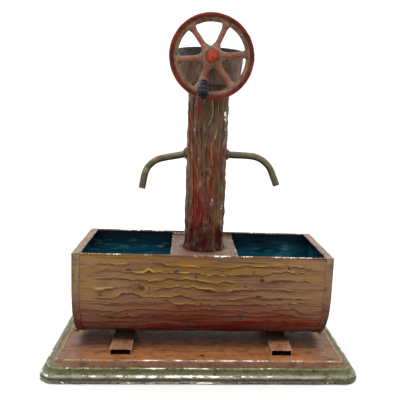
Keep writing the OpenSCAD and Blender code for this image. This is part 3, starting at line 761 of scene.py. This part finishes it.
def rail(side, paint, inside):
    """A folded hat-section rail between the base and the trough."""
    low, high = extent("rail_" + side)
    middle = (low[0] + high[0]) / 2
    flange, wall = (high[0] - low[0]) / 2, (high[0] - low[0]) / 2 - 1.6
    tin = 0.4
    bottom, top = low[2], high[2]
    half = [(wall, top), (wall, bottom + tin), (flange, bottom + tin), (flange, bottom),
            (wall - tin, bottom), (wall - tin, top - tin)]
    outline = half + [(-x, z) for x, z in half[::-1]] + half[:1]
    section = evenly(outline, 0.3, 0.35)[:-1]
    path = [(middle, y, 0) for y in np.linspace(low[1], high[1], 45)]
    points = swept(section, path, (1, 0, 0), (0, 0, 1))
    dents = waves(points, (9, 11, 9), 21) * smoothstep(points[..., 2], bottom + 0.8, top)
    points[..., 2] = np.minimum(points[..., 2] + 0.05 * dents, top)
    corner = hump(points[..., 2], top, 0.7) * hump(np.abs(points[..., 0] - middle), wall, 1.2)
    ends = hump(points[..., 1], low[1], 1.6)
    edge = 0.5 * np.maximum(corner, ends) + 0.1
    piece = settled(clean(grid("rail_" + side + "_tin", points, wrap=(False, True), caps=True, edge=edge)))
    # the rail's inner faces take the near-black inside finish as painted shade
    for face in piece.data.polygons:
        beside = abs(face.center.x / MM - middle) < wall - tin / 2
        if beside and face.center.z < (top - tin / 2) * MM and abs(face.normal.y) < 0.5:
            face.material_index = 1
    return finish(piece, "stand", ["rail_" + side], "base_paint", paint, inside)


def grain(along, around, knots, pitch, seed, wobble=0.35):
    """Embossed wood grain on a sheet: long planks that swell towards a ridge and drop into the grooves
    between them.

    along runs with the grain and around runs over it. Each knot is (along, around, radius). Gives the
    heights and the marks for the ridges, the grooves, the knots and the place across each plank. The paints
    darken the grooves' mark as painted shade, and the trough's paint also lays painted shade on each plank
    just below the grooves."""
    flat = np.stack([along, around, np.zeros_like(along)], -1)
    shifted = around + 1.3 * waves(flat, (38, 18, 9), seed) + wobble * waves(flat, (8, 6, 9), seed + 1)
    eye = np.zeros_like(along)
    rings = np.zeros_like(along)
    dark_ring = np.zeros_like(along)
    for spot_along, spot_around, radius in knots:
        far = np.hypot((along - spot_along) / 1.2, around - spot_around)
        far = far * (1 + 0.16 * waves(flat, (5, 5, 9), seed + 6) + 0.12 * waves(flat, (2, 2, 9), seed + 7))
        push = radius * np.exp(-(far / (2.4 * radius)) ** 2)
        shifted = shifted - push * np.tanh((around - spot_around) / (0.5 * radius))
        eye = np.maximum(eye, np.exp(-(far / (0.7 * radius)) ** 2))
        clear = min(1, radius / 1.7) ** 3
        rings = np.maximum(rings, clear * np.exp(-((far - 1.25 * radius) / (0.35 * radius)) ** 2))
        dark_ring = np.maximum(dark_ring, clear * np.exp(-((far - 1.85 * radius) / (0.3 * radius)) ** 2))
    plank = (shifted / pitch + 0.12 * waves(flat, (18, pitch * 2, 9), seed + 2)) % 1.0
    alive = smoothstep(waves(flat, (26, pitch * 1.1, 9), seed + 3), -1.1, -0.1)
    line = hump(plank, 0.9, 0.11) * alive
    # this mask sets the grooves' depth and also carries their painted shade
    shaded_groove = np.maximum(hump(plank, 0.06, 0.13), hump(plank, 1.06, 0.13)) * alive * (1 - eye)
    rough = waves(flat, (5, 1.6, 9), seed + 4)
    height = 0.2 * smoothstep(plank, 0.15, 0.9) * alive + 0.14 * line - 0.2 * shaded_groove
    broken = smoothstep(waves(flat, (2.4, 2.4, 9), seed + 5), -0.9, 0.5)
    height = height + 0.06 * rough + 0.2 * rings * broken - 0.35 * eye
    knot = np.clip(0.9 * eye + 0.8 * dark_ring * broken, 0, 1)
    return height, {"line": line, "shaded_groove": shaded_groove, "knot": knot, "ring": rings, "plank": plank}


HEM = 0.6


def u_outline(lengths, radius, straight, axis_z):
    """Points (y, z) and outward normals at some lengths along a U: down the front, round, up the back."""
    turn = np.clip((lengths - straight) / radius, 0, math.pi)
    z = axis_z - radius * np.sin(turn)
    z = z + np.maximum(straight - lengths, 0) + np.maximum(lengths - straight - math.pi * radius, 0)
    return np.stack([-radius * np.cos(turn), z], 1), np.stack([-np.cos(turn), -np.sin(turn)], 1)


def sheet_marks(shape, columns, stamped, fade):
    """Marks for a stamped sheet, which are all zero but on the columns of its outer side."""
    marks = {name: np.zeros(shape) for name in [*stamped, "edge"]}
    for name, values in stamped.items():
        marks[name][:, columns] = values * fade
    return marks


def trough_sheet(lining):
    """The bent trough: embossed outside, painted blue inside, with rolled hems."""
    low, high = extent("trough_shell")
    bottom, radius = low[2], high[1] - HEM + SHEET / 2
    top, axis = high[2] - HEM + 0.15, bottom + radius
    hem_y, hem_z = radius - SHEET / 2, high[2] - HEM
    straight = hem_z - 0.6 - axis
    outer_length = 2 * straight + math.pi * radius
    outer_s = np.linspace(0, outer_length, 226)
    inner_r = radius - SHEET
    outside, normals = u_outline(outer_s, radius, straight, axis)
    inner_s = np.linspace(2 * straight + math.pi * inner_r, 0, 70)
    inside, _ = u_outline(inner_s, inner_r, straight, axis)
    front_hem = arc((-hem_y, hem_z), HEM, -50, 230, 12)
    back_hem = arc((hem_y, hem_z), HEM, -50, 230, 12)
    section = np.vstack([front_hem, outside, back_hem, inside])
    first, last = len(front_hem), len(front_hem) + len(outside)

    x = np.linspace(low[0], high[0], 236)
    points = np.dstack([np.repeat(x[:, None], len(section), 1),
                        np.broadcast_to(section, (len(x), *section.shape))])
    along, around = np.meshgrid(x, np.minimum(outer_s, outer_length - outer_s), indexing="ij")
    knots = [(-34, 18, 2.0), (31, 22, 0.9), (48, 36, 1.2)]
    height, stamped = grain(along, around, knots, 4.4, 31, wobble=0.45)
    plain_end = high[0] - 9
    fade = smoothstep(np.abs(along), plain_end, plain_end - 6) * smoothstep(around, 1.5, 5)
    skin = points[:, first:last]
    skin[..., 1:] += (height * fade)[..., None] * normals
    skin[..., 1:] += (0.12 * waves(skin, (30, 30, 30), 77) * fade)[..., None] * normals
    marks = sheet_marks(points.shape[:2], slice(first, last), stamped, fade)
    # the plain ends get a high plank value, so no painted plank shade falls on them
    marks["plank"][:, first:last] += 0.6 * (1 - fade)
    rubbed = 0.55 + 0.35 * waves(points, (12, 60, 60), 41) + 0.4 * hump(points[..., 0], 4, 26)
    hem_wear = hump(section[:, 1], high[2], 1.6)[None] * rubbed
    spots = np.clip(waves(skin, (5, 9, 2.5), 42) - 1.3, 0, 0.5) * fade
    marks["edge"] = np.clip(hem_wear, 0, 1.1)
    marks["edge"][:, first:last] += 0.05 + 0.12 * marks["line"][:, first:last]
    marks["chip"] = np.zeros(points.shape[:2])
    marks["chip"][:, first:last] = 1.6 * spots
    inner_columns = slice(last + len(back_hem) - 1, None)
    piece = grid("trough_sheet", points, wrap=(False, True), caps=True, second=inner_columns, **marks)
    settled(clean(piece))
    return finish(piece, "stand", ["trough_shell"], "trough_paint", trough_paint(), lining)


def trough_cap(side, sign, paint, lining):
    """An end cap: the plate, the band it turns round the trough and the strip folded in over the top."""
    low, high = extent("trough_end_" + side)
    end_x = max(abs(low[0]), abs(high[0]))
    bottom, outer_r, top = low[2], high[1], high[2]
    axis = bottom + outer_r
    tin = 0.4
    band_x, strip_x, lip_r = end_x - 4.1, end_x - 4.5, outer_r - 1.4
    straight = top - tin - axis

    def rim(r):
        lengths = np.linspace(0, 2 * straight + math.pi * r, 150)
        return u_outline(lengths, r, straight, axis)[0]

    section = evenly([(band_x, outer_r - tin), (band_x, outer_r), (end_x, outer_r),
                      (end_x, lip_r), (end_x - tin, lip_r), (end_x - tin, outer_r - tin),
                      (band_x, outer_r - tin)], 0.3, 0.5)[:-1]
    rows = np.array([rim(r) for r in section[:, 1]]).transpose(1, 0, 2)
    band_points = np.dstack([np.broadcast_to(section[:, 0], rows.shape[:2]), rows])
    band_points[..., 0] -= 0.1 * np.clip(waves(band_points, (6, 7, 7), 51), 0, 1)
    near_fold = hump(band_points[..., 0], end_x, 1.2)
    edge = np.clip(0.55 + 0.55 * waves(band_points, (40, 9, 9), 52), 0, 1) * np.maximum(
        near_fold, 0.75 * hump(band_points[..., 0], band_x, 0.8))
    band = clean(grid("band", band_points, wrap=(False, True), caps=True, edge=edge))

    plate_r = outer_r - 0.6
    turns, shares = np.meshgrid(np.linspace(0, math.pi, 90), np.linspace(0, 1, 60), indexing="ij")
    y = -plate_r * np.cos(turns)
    low_z = axis - plate_r * np.sin(turns)
    z = low_z + (top - 0.2 - low_z) * shares
    inside_rim = plate_r - np.hypot(y, np.minimum(z - axis, 0))
    inside_rim = np.minimum(inside_rim, top - z)
    press = 0.45 * hump(inside_rim, 3.2, 1.5)
    dents = 0.15 * waves(np.dstack([np.zeros_like(y), y, z]), (14, 14, 14), 53)
    face_x = end_x - 0.05 - press - np.clip(dents, 0, 1) * smoothstep(inside_rim, 0, 5)
    wear = 0.45 * hump(inside_rim, 2.4, 1.0) + 0.12
    plate = clean(grid("plate", np.dstack([face_x, y, z]), edge=wear), outward=False)
    modify(plate, "SOLIDIFY", thickness=0.3 * MM, offset=1.0)
    settled(plate)

    strip_outline = evenly([(strip_x, top - tin), (end_x, top - tin), (end_x, top), (strip_x, top),
                            (strip_x, top - tin)], 0.3, 0.3)[:-1]
    path = [(0, y, 0) for y in np.linspace(-outer_r, outer_r, 70)]
    strip_points = swept(strip_outline, path, (1, 0, 0), (0, 0, 1))
    ripple = 0.12 * waves(strip_points, (20, 11, 20), 54)
    strip_points[..., 2] = np.minimum(strip_points[..., 2] + ripple, top)
    strip_edge = np.clip(0.6 + 0.5 * waves(strip_points, (30, 7, 9), 55), 0, 1) * np.maximum(
        hump(strip_points[..., 0], end_x, 1.0), hump(strip_points[..., 0], strip_x, 0.8))
    strip = clean(grid("strip", strip_points, wrap=(False, True), caps=True, edge=strip_edge))

    piece = joined("trough_cap_" + side, [band, plate, strip])
    if sign < 0:
        piece.data.transform(Matrix.Scale(-1, 4, (1, 0, 0)))
        piece.data.flip_normals()
    settled(piece)
    for face in piece.data.polygons:
        deep = abs(face.center.x) > (end_x - 1.2) * MM
        if deep and face.normal.x * sign < -0.5 and face.center.z < (top - 1) * MM:
            face.material_index = 1
    return finish(piece, "stand", ["trough_end_" + side], "end_paint", paint, lining)


def bridge():
    """The plate across the trough under the column, with upturned front and back edges."""
    low, high = extent("bridge_plate")
    flat_z, half_d, tin = low[2] + SHEET, high[1], SHEET
    rise = high[2] - flat_z
    outline = [(-half_d, flat_z + rise), (-half_d, flat_z - tin), (half_d, flat_z - tin),
               (half_d, flat_z + rise), (half_d - tin, flat_z + rise), (half_d - tin, flat_z),
               (-half_d + tin, flat_z), (-half_d + tin, flat_z + rise), (-half_d, flat_z + rise)]
    section = evenly(outline, 0.45, 0.7)[:-1]
    path = [(x, 0, 0) for x in np.linspace(low[0], high[0], 60)]
    points = swept(section, path, (0, 1, 0), (0, 0, 1))
    points[..., 2] += 0.07 * waves(points, (13, 11, 20), 61)
    points[..., 1] += 0.08 * waves(points, (9, 30, 30), 62) * smoothstep(points[..., 2], flat_z, high[2])
    from_column = np.hypot(points[..., 0], points[..., 1])
    # painted shade on the plate in a ring round the column's foot
    grime = smoothstep(from_column, 15.5, 12.4)
    edge = np.maximum(0.8 * hump(np.abs(points[..., 0]), high[0], 1.3),
                      0.8 * hump(points[..., 2], high[2], 0.7))
    edge = np.clip(edge * (0.7 + 0.5 * waves(points, (7, 7, 7), 63)) + 0.12, 0, 1)
    piece = clean(grid("bridge_tin", points, wrap=(False, True), caps=True, edge=edge, grime=grime))
    barrel_r = extent("pump_barrel")[1][0]
    drilled(piece, barrel_r + 0.05, 4, (0, 0, 1), [(0, 0, flat_z)])
    return finish(piece, "stand", ["bridge_plate"], "bridge_paint", bridge_paint())


TRUNK_R = 11.3           # the column above its flared foot
SPOUT_ROOT_X = 9.5
SPOUT_ROOT_Z = 118.2
LEFT_SPOUT = {"slopes": (12, 80), "run": 16.4, "bend": 13, "drop": 7.5}
RIGHT_SPOUT = {"slopes": (1.5, 67), "run": 15.6, "bend": 15, "drop": 8.3}
SPOUT_R = 2.05


def trunk(inside):
    """The log-shaped column: embossed bark with knots, a raised lock seam and a flared foot."""
    low, high = extent("trunk_tube")
    radius, foot_r, inner_r = TRUNK_R, 12.3, 10.8
    foot_h = 5
    z = np.linspace(low[2], high[2], 190)
    flare = (foot_r - radius) * smoothstep(z, low[2] + foot_h, low[2]) ** 1.3
    inner_z = np.linspace(high[2], low[2], 24)
    inner_flare = (foot_r - radius) * smoothstep(inner_z, low[2] + foot_h, low[2]) ** 1.3
    profile = np.vstack([np.stack([radius + flare, z], 1), np.stack([inner_r + inner_flare, inner_z], 1)])
    steps = 190
    points = spun(profile, steps)
    turn = np.degrees(np.linspace(0, 2 * math.pi, steps, endpoint=False))
    turn = (turn + 180) % 360 - 180
    girth = np.radians(turn) * radius
    along, around = np.meshgrid(z, girth)
    front = -90
    knots = [(107.6, math.radians(front + 2) * radius, 1.7), (78, math.radians(front + 1) * radius, 1.2),
             (90, math.radians(front - 34) * radius, 0.8), (128, math.radians(60) * radius, 2.2),
             (84, math.radians(130) * radius, 2.0), (140, math.radians(10) * radius, 1.5)]
    height, stamped = grain(along, around, knots, 3.4, 71, wobble=0.12)
    seam_turn = -35
    away = np.abs((turn - seam_turn + 180) % 360 - 180)[:, None] * math.radians(1) * radius
    skin = points[:, :len(z)]
    seam = smoothstep(away, 1.0, 0.45) * (0.85 + 0.3 * waves(skin, (4, 4, 7), 72))
    fade = smoothstep(z, low[2] + 8, low[2] + 14)[None] * smoothstep(z, high[2] - 0.3, high[2] - 3)[None]
    fade = fade * smoothstep(away, 0.8, 2.2) * smoothstep(np.abs(np.abs(turn) - 180)[:, None], 0, 6)
    swell = smoothstep(z, low[2] + 1, low[2] + 12)[None]
    lump = (0.22 * waves(skin, (7, 7, 9), 73) + 0.1 * waves(skin, (4, 4, 5), 74)) * swell
    relief = 1.25 * height * fade + lump + 0.62 * np.clip(seam, 0, 1)
    ways = away_from_axis(skin)
    skin[..., :2] += relief[..., None] * ways
    marks = sheet_marks(points.shape[:2], slice(len(z)), stamped, fade)
    marks["knot"][:, :len(z)] += 0.4 * hump(away, 1.4, 0.7)
    patch = np.clip(waves(skin, (9, 9, 10), 75), -0.2, 1)
    scuffs = 0.5 * np.clip(waves(skin, (4, 4, 8), 76) - 0.8, 0, 1)
    seam_wear = smoothstep(away, 1.5, 0.3) * (0.15 + 0.55 * patch + 0.9 * hump(z, 140, 4)[None])
    marks["edge"][:, :len(z)] = np.clip(seam_wear + 0.1 + scuffs, 0, 1.1)
    piece = grid("trunk_tin", points, wrap=(True, True), second=slice(len(z), None), **marks)
    clean(piece)
    for side, shape in ((-1, LEFT_SPOUT), (1, RIGHT_SPOUT)):
        slope = math.radians(shape["slopes"][0])
        way = (side * math.cos(slope), 0, -math.sin(slope))
        spot = np.array([side * SPOUT_ROOT_X, 0, SPOUT_ROOT_Z]) + 1.5 * np.array(way)
        drilled(piece, SPOUT_R + 0.02, 8, way, [spot])
    return finish(piece, "stand", ["trunk_tube"], "bark_paint", bark_paint(), inside)


def spout_path(side, slopes, run, bend, drop):
    """Middle line of a spout: straight, round the bend and straight down, in the XZ plane."""
    first, last = map(math.radians, slopes)
    start = np.array([SPOUT_ROOT_X, 0, SPOUT_ROOT_Z])
    bend_start = start + run * np.array([math.cos(first), 0, -math.sin(first)])
    centre = bend_start + bend * np.array([-math.sin(first), 0, -math.cos(first)])
    turns = np.linspace(first, last, 22)
    curve = centre + bend * np.stack([np.sin(turns), turns * 0, np.cos(turns)], 1)
    tip = curve[-1] + drop * np.array([math.cos(last), 0, -math.sin(last)])
    path = evenly(np.vstack([[start], curve, [tip]]), 0.7, 1.5)
    return path * (side, 1, 1)


def spout(side, name, shape, seed, brass):
    path = spout_path(side, **shape)
    share = np.linspace(0, 1, len(path))
    squeeze = 1 - 0.04 * hump(share, 0.6, 0.3)
    points = pipe(path, (0, 1, 0), SPOUT_R * squeeze, (SPOUT_R - SHEET) * squeeze, 30)
    points = points + 0.05 * waves(points, (6, 4, 6), seed)[..., None] * (0, 1, 1)
    middle_z = points[..., 2].mean(axis=0)
    # the under mark carries painted shade on the lower side of each spout
    under = smoothstep(points[..., 2] - middle_z, 0.3, -1.2)
    piece = settled(clean(grid(name + "_brass", points, wrap=(True, True), under=under)), 50)
    return finish(piece, "stand", [name], "old_brass", brass)


def solder_lumps():
    """Uneven solder round the two spouts' roots."""
    lumps = []
    for side, shape in ((-1, LEFT_SPOUT), (1, RIGHT_SPOUT)):
        slope = math.radians(shape["slopes"][0])
        way = np.array([side * math.cos(slope), 0, -math.sin(slope)])
        profile = evenly([(SPOUT_R - 0.1, 1.9), (SPOUT_R + 0.25, 1.5), (2.75, 0.9), (3.3, 0.1), (3.5, -0.9),
                          (3.2, -1.6), (SPOUT_R - 0.1, -1.6), (SPOUT_R - 0.1, 1.9)], 0.3, 0.5)[:-1]
        steps = 44
        points = spun(profile, steps)
        droop = smoothstep(np.sin(np.linspace(0, 2 * math.pi, steps)), 1, -1)[:, None]
        outward = smoothstep(np.hypot(points[..., 0], points[..., 1]), SPOUT_R, SPOUT_R + 0.6)
        swell = 1 + (0.09 * waves(points, (2.4, 2.4, 2.4), 81 + side) + 0.1 * droop) * outward
        points = points * swell[..., None] ** np.array([1, 1, 0.6])
        origin = np.array([side * TRUNK_R / math.cos(slope), 0, SPOUT_ROOT_Z - 1.8 * math.tan(slope)])
        lumps.append(clean(grid("lump", placed(points, origin, way), wrap=(True, True))))
    piece = settled(joined("spout_solder", lumps), 60)
    return finish(piece, "stand", ["spout_collars"], "bark_paint", solder())


def cup():
    """The tapered head cup, open at the top, and the dark band round its rim."""
    low, high = extent("head_cup")
    rim_r, rim_z = high[0], high[2]
    floor_z, foot_r, spigot_r = extent("trunk_tube")[1][2] + 0.7, 17.4, 10.75
    knee = floor_z + 1.8
    outline = [(spigot_r - SHEET, low[2]), (spigot_r, low[2]), (spigot_r, floor_z - 0.55),
               (foot_r - 1.9, floor_z), (foot_r - 0.45, floor_z + 0.5), (foot_r, knee), (rim_r, rim_z),
               (rim_r - SHEET, rim_z), (foot_r - SHEET, knee), (foot_r - 1.9, floor_z + SHEET),
               (spigot_r - SHEET, floor_z - 0.1), (spigot_r - SHEET, low[2])]
    profile = evenly(outline, 0.5, 0.9)[:-1]
    points = spun(profile, 150)
    up = points[..., 2]
    wall = smoothstep(up, floor_z + 0.6, floor_z + 4) * smoothstep(up, rim_z, rim_z - 2.5)
    relief = wall * (0.14 * waves(points, (3.5, 3.5, 14), 91) + 0.1 * waves(points, (9, 9, 9), 92))
    ways = away_from_axis(points)
    points[..., :2] += relief[..., None] * ways
    piece = clean(grid("cup_tin", points, wrap=(True, True)))
    axle = joint("wheel_spin")[0]
    bush_r, through = 2.25, 60
    drilled(piece, bush_r, through, (0, 1, 0), [(0, 0, axle[2])])
    finish(piece, "stand", ["head_cup"], "cup_paint", cup_paint())

    low, high = extent("cup_band")
    foot, top = low[2], high[2]
    foot_r, top_r = high[0] - 0.3 - 0.02, high[0]
    thick = 0.35
    band_outline = [(foot_r - thick - 0.1, foot), (foot_r - 0.1, foot), (foot_r, foot + 0.5),
                    (top_r - 0.1, top - 0.7), (top_r, top - 0.35), (top_r - 0.25, top),
                    (top_r - thick - SHEET, top), (top_r - thick - SHEET, top - 0.18),
                    (top_r - thick, top - 0.2), (foot_r - thick - 0.1, foot)]
    points = spun(evenly(band_outline, 0.22, 0.25)[:-1], 150)
    ways = away_from_axis(points)
    outer = smoothstep(np.linalg.norm(points[..., :2], axis=2), foot_r - 0.3, foot_r)
    dents = (outer * 0.07 * waves(points, (4, 4, 5), 93))[..., None] * ways
    points[..., :2] += dents - outer[..., None] * 0.06 * ways
    band = clean(grid("cup_rim_band", points, wrap=(True, True)))
    flange_r = (extent("bearing_front")[1][2] - extent("bearing_front")[0][2]) / 2
    drilled(band, flange_r + 0.3, through, (0, 1, 0), [(0, 0, axle[2])])
    finish(band, "stand", ["cup_band"], "band_paint", band_paint())


def wheel():
    """The cast flywheel: grooved rim with a sloping inside, round spokes that swell at their ends."""
    axle = joint("wheel_spin")[0]
    low, high = extent("flywheel")
    outer = high[0]
    dome, rim_half, inner = 5.6, 2.3, 17.8
    middle_y = low[1] + dome
    hub_r, spoke_r, spokes, first_turn = 5.9, 1.5, 6, 7
    lip = 2.7
    rim = arc((outer - lip / 2, rim_half - 0.75), lip / 2, 5, 160, 12)
    rim += [(inner + 0.5, 0.3), (inner, -0.1), (inner, -0.9), (inner + 0.5, -1.5),
            (outer - lip, 0.4 - rim_half)]
    rim += arc((outer - 0.75, 0.75 - rim_half), 0.75, 230, 360, 8)
    rim += [(outer, -1.1), (outer - 1.7, -0.25), (outer - 1.7, 0.25), (outer, 1.1)]
    parts = [grid("rim", spun(rim, 200), wrap=(True, True))]
    hub = [(0, -3.8), (4.4, -3.8), (4.4, -2.2), (5.4, -1.6), (hub_r, -0.6)]
    hub += [(hub_r * math.cos(t), dome * math.sin(t)) for t in np.linspace(0.02, math.pi / 2, 14)]
    parts.append(grid("hub", spun(hub, 80), wrap=(True, False)))
    reach = np.linspace(4, inner + 1.2, 30)
    swell = spoke_r + 1.2 * smoothstep(reach, 8.4, 4.6) + 0.9 * smoothstep(reach, inner - 2.8, inner + 0.6)
    spoke_profile = [(0, reach[0])] + list(zip(swell, reach)) + [(0, reach[-1])]
    for number in range(spokes):
        turn = math.radians(first_turn + number * 360 / spokes)
        way = (math.cos(turn), math.sin(turn), 0)
        parts.append(grid("spoke", placed(spun(spoke_profile, 24), (0, 0, -0.1), way), wrap=(True, False)))
    root, _ = joint("grip_spin")
    boss_x, boss_y = root[0] - axle[0], root[2] - axle[2]
    boss = spun([(0, -1.5), (1.9, -1.5), (2.1, 0), (1.9, 1.9), (1.5, 2.1), (0, 2.1)], 24)
    parts.append(grid("boss", placed(boss, (boss_x, boss_y, 0), (0, 0, 1)), wrap=(True, False)))
    piece = joined("flywheel_casting", [clean(part) for part in parts])
    modify(piece, "REMESH", mode="VOXEL", voxel_size=0.28 * MM)
    modify(piece, "SMOOTH", factor=0.5, iterations=5)
    settled(piece, 60)

    points = np.array([v.co for v in piece.data.vertices]) / MM
    lumps = 0.05 * waves(points, (3, 3, 3), 95)
    normals = np.array([v.normal for v in piece.data.vertices])
    points += lumps[:, None] * normals
    far = np.hypot(points[:, 0], points[:, 1])
    slope = smoothstep(far, inner - 0.8, inner + 0.3)
    slope = slope * smoothstep(far, outer - lip + 0.5, outer - lip - 0.3)
    past_hub = smoothstep(far, hub_r - 1, hub_r + 1) * (far < inner)
    # painted highlight: the spokes' upward-facing sides join the tan mark
    spoke_top_highlight = smoothstep(normals[:, 1], -0.1, 0.45) * past_hub
    hub_ring = hump(far, hub_r - 1.2, 1.6) * (points[:, 2] > 0)
    tan = np.clip(slope + 0.9 * spoke_top_highlight + hub_ring, 0, 1)
    red = np.clip(smoothstep(far, 4.2, 2.0) + 0.5 * smoothstep(far, outer - 0.8, outer - 0.2), 0, 1)
    spoke = smoothstep(far, inner + 0.4, inner - 0.6) * smoothstep(far, hub_r - 1, hub_r)
    for name, values in (("tan", tan), ("red", red), ("spoke", spoke)):
        stored = piece.data.attributes.new(name, "FLOAT", "POINT").data
        stored.foreach_set("value", values.astype(np.float32))
    turned = np.stack([points[:, 0], middle_y - points[:, 2], axle[2] + points[:, 1]], 1) * MM
    piece.data.vertices.foreach_set("co", turned.astype(np.float32).ravel())
    piece.data.update()
    return finish(piece, "crank", ["flywheel"], "wheel_paint", wheel_paint())


def grip_and_pin():
    """The chipped handle grip and the bent pin that carries it."""
    root, axis = joint("grip_spin")
    axis = axis / np.linalg.norm(axis)
    pin_r, start, length = 0.8, 1.0, 10.0
    back_y = extent("grip_pin")[1][1] + 0.55
    line = [(root[0], back_y, root[2]), root, root + axis * (start + length + 0.4)]
    path = evenly(line, 0.35, 2.2)
    across = np.cross((0, 1, 0), axis)
    across /= np.linalg.norm(across)
    wire = clean(grid("wire", pipe(path, across, pin_r, 0.3, 24), wrap=(True, True)))
    head = evenly([(0.25, -0.35), (1.25, -0.35), (1.25, 0.05), (0.9, 0.3), (0.25, 0.35), (0.25, -0.35)],
                  0.12, 0.2)[:-1]
    heads = [clean(grid("head", placed(spun(head, 32), spot, way), wrap=(True, True)))
             for spot, way in ((root + axis * (start + length + 0.5), axis),
                               ((root[0], back_y - 0.2, root[2]), (0, 1, 0)))]
    pin = settled(joined("grip_wire", [wire] + heads), 50)
    steel = metal("pin_steel", "#6a6258", "#a39a8c", "#cfc8ba", 0.3, 0.5)
    tip = root + axis * (start + length)
    for face in pin.data.polygons:
        if (np.array(face.center) / MM - tip) @ axis > 0:
            face.material_index = 1
    enamel = grip_enamel()
    finish(pin, "crank", ["grip_pin"], "steel", steel, enamel)

    bore, steps, notch_turn = 0.87, 72, 285
    outline = [(bore, start + 0.1), (1.7, start), (2.1, 1.6), (2.35, 3), (2.6, 5), (2.75, 6.6),
               (2.85, 7.4), (2.62, 7.6), (2.9, 8.0), (2.98, 9)]
    outline += arc((1.5, start + length - 1.5), 1.48, 0, 85, 6)
    outline += [(bore, start + length - 0.02), (bore, start + 0.1)]
    points = spun(evenly(outline, 0.22, 0.35)[:-1], steps)
    turn = np.linspace(0, 2 * math.pi, steps, endpoint=False)[:, None]
    notch = hump(np.abs((turn - math.radians(notch_turn) + math.pi) % (2 * math.pi) - math.pi), 0, 0.75)
    depth = 2.6 * notch * smoothstep(points[..., 2], start + 3.4, start)
    points[..., 2] += depth
    skin = smoothstep(np.hypot(points[..., 0], points[..., 1]), 0.9, 1.4)
    sides = 1 + 0.05 * waves(points, (1.8, 1.8, 3), 97) * skin
    points[..., :2] *= sides[..., None]
    edge = np.clip(smoothstep(points[..., 2], 3.4, 1.2) * 0.6 + notch * hump(points[..., 2], 3, 2), 0, 1)
    piece = settled(clean(grid("grip_knob", placed(points, root, axis), wrap=(True, True), edge=edge)), 50)
    return finish(piece, "grip", ["crank_grip"], "grip_enamel", enamel)


def repaint(names, material):
    """Gives CAD pieces that stay visible a new material."""
    for name in names:
        node = frame["nodes"][name]
        node.data.materials.clear()
        node.data.materials.append(material)


def small_parts():
    """The turned and stamped parts keep their CAD shapes and get their own metals."""
    brass = metal("brass", "#4c3e20", "#7c6838", "#a08a58", 0.28, 0.5)
    steel = metal("steel", "#55524d", "#8d8a84", "#b9b6ae", 0.28, 0.5)
    tinned = metal("tinned_steel", "#6d6a64", "#9a978f", "#bdbab2", 0.35, 0.6)
    repaint(["bearing_front", "bearing_rear", "pump_barrel", "barrel_nut", "valve_seat", "suction_strainer",
             "axle_collar", "connecting_rod", "plunger_fork", "piston_body", "piston_nut"], brass)
    repaint(["foot_ball", "crank_axle", "hub_washer", "collar_screw", "gudgeon_pin", "plunger_rod",
             "valve_stop_pin"], steel)
    repaint(["rod_guide"], tinned)
    repaint(["piston_leather", "piston_flap"], leather())


# ---------------------------------------------------------------- camera and light

def camera():
    """The photograph's view: low in front, looking a little down."""
    lens = bpy.data.cameras.new("camera")
    lens.sensor_width, lens.lens = 36, 48.82
    lens.shift_x, lens.shift_y = -0.0713, -0.0045
    lens.clip_start, lens.clip_end = 0.01, 100
    yaw, pitch, roll = 0.081, 0.1528, -0.042
    forward = np.array([math.sin(yaw) * math.cos(pitch), math.cos(yaw) * math.cos(pitch), -math.sin(pitch)])
    right = np.array([math.cos(yaw), -math.sin(yaw), 0])
    down = np.cross(forward, right)
    right, down = (math.cos(roll) * right + math.sin(roll) * down,
                   math.cos(roll) * down - math.sin(roll) * right)
    thing = new_object("camera", lens)
    turn = Matrix(np.stack([right, -down, -forward], 1).tolist()).to_4x4()
    place = Vector((-11.82, -315.46, 141.15)) * MM
    thing.matrix_world = Matrix.Translation(place) @ turn
    bpy.context.scene.camera = thing


def area_light(name, place, target, size, power):
    lamp = bpy.data.lights.new(name, "AREA")
    lamp.shape, lamp.size, lamp.energy = "DISK", size, power
    thing = new_object(name, lamp)
    thing.location = place
    thing.rotation_euler = (Vector(target) - Vector(place)).to_track_quat("-Z", "Y").to_euler()


def studio():
    """A pale floor under a white sky that is brighter overhead, and two soft lamps for the gloss."""
    scene = bpy.context.scene
    scene.view_settings.view_transform = "Standard"
    scene.world = bpy.data.worlds.new("studio")
    scene.world.use_nodes = True
    tree = scene.world.node_tree
    background = tree.nodes["Background"]
    background.inputs["Color"].default_value = (1, 1, 1, 1)
    up = tree.nodes.new("ShaderNodeTexCoord").outputs["Generated"]
    parts = tree.nodes.new("ShaderNodeSeparateXYZ")
    tree.links.new(up, parts.inputs[0])
    sky = tree.nodes.new("ShaderNodeMapRange")
    sky.inputs["To Min"].default_value, sky.inputs["To Max"].default_value = 1.02, 3.2
    tree.links.new(parts.outputs["Z"], sky.inputs["Value"])
    tree.links.new(sky.outputs[0], background.inputs["Strength"])
    area_light("top", (-0.15, -0.25, 0.7), (0, 0, 0.08), 0.25, 0.8)
    area_light("front", (-0.5, -0.7, 0.35), (0, 0, 0.08), 0.3, 0.6)
    reach, count = 30.0, 13
    x, y = np.meshgrid(np.linspace(-reach, reach, count), np.linspace(-reach, reach, count), indexing="ij")
    floor = grid("floor", np.dstack([x, y, x * 0 - 0.0002]) / MM)
    floor.data.materials.append(floor_cloth())


camera()
studio()
base_tray()
rail_finish = rail_paint()
inside_finish = painted_shade_inside()
rail("left", rail_finish, inside_finish)
rail("right", rail_finish, inside_finish)
lining_finish = trough_lining()
trough_sheet(lining_finish)
cap_finish = end_paint()
trough_cap("left", -1, cap_finish, lining_finish)
trough_cap("right", 1, cap_finish, lining_finish)
bridge()
trunk(inside_finish)
spout_finish = old_brass()
spout(-1, "spout_left", LEFT_SPOUT, 83, spout_finish)
spout(1, "spout_right", RIGHT_SPOUT, 84, spout_finish)
solder_lumps()
cup()
wheel()
grip_and_pin()
small_parts()
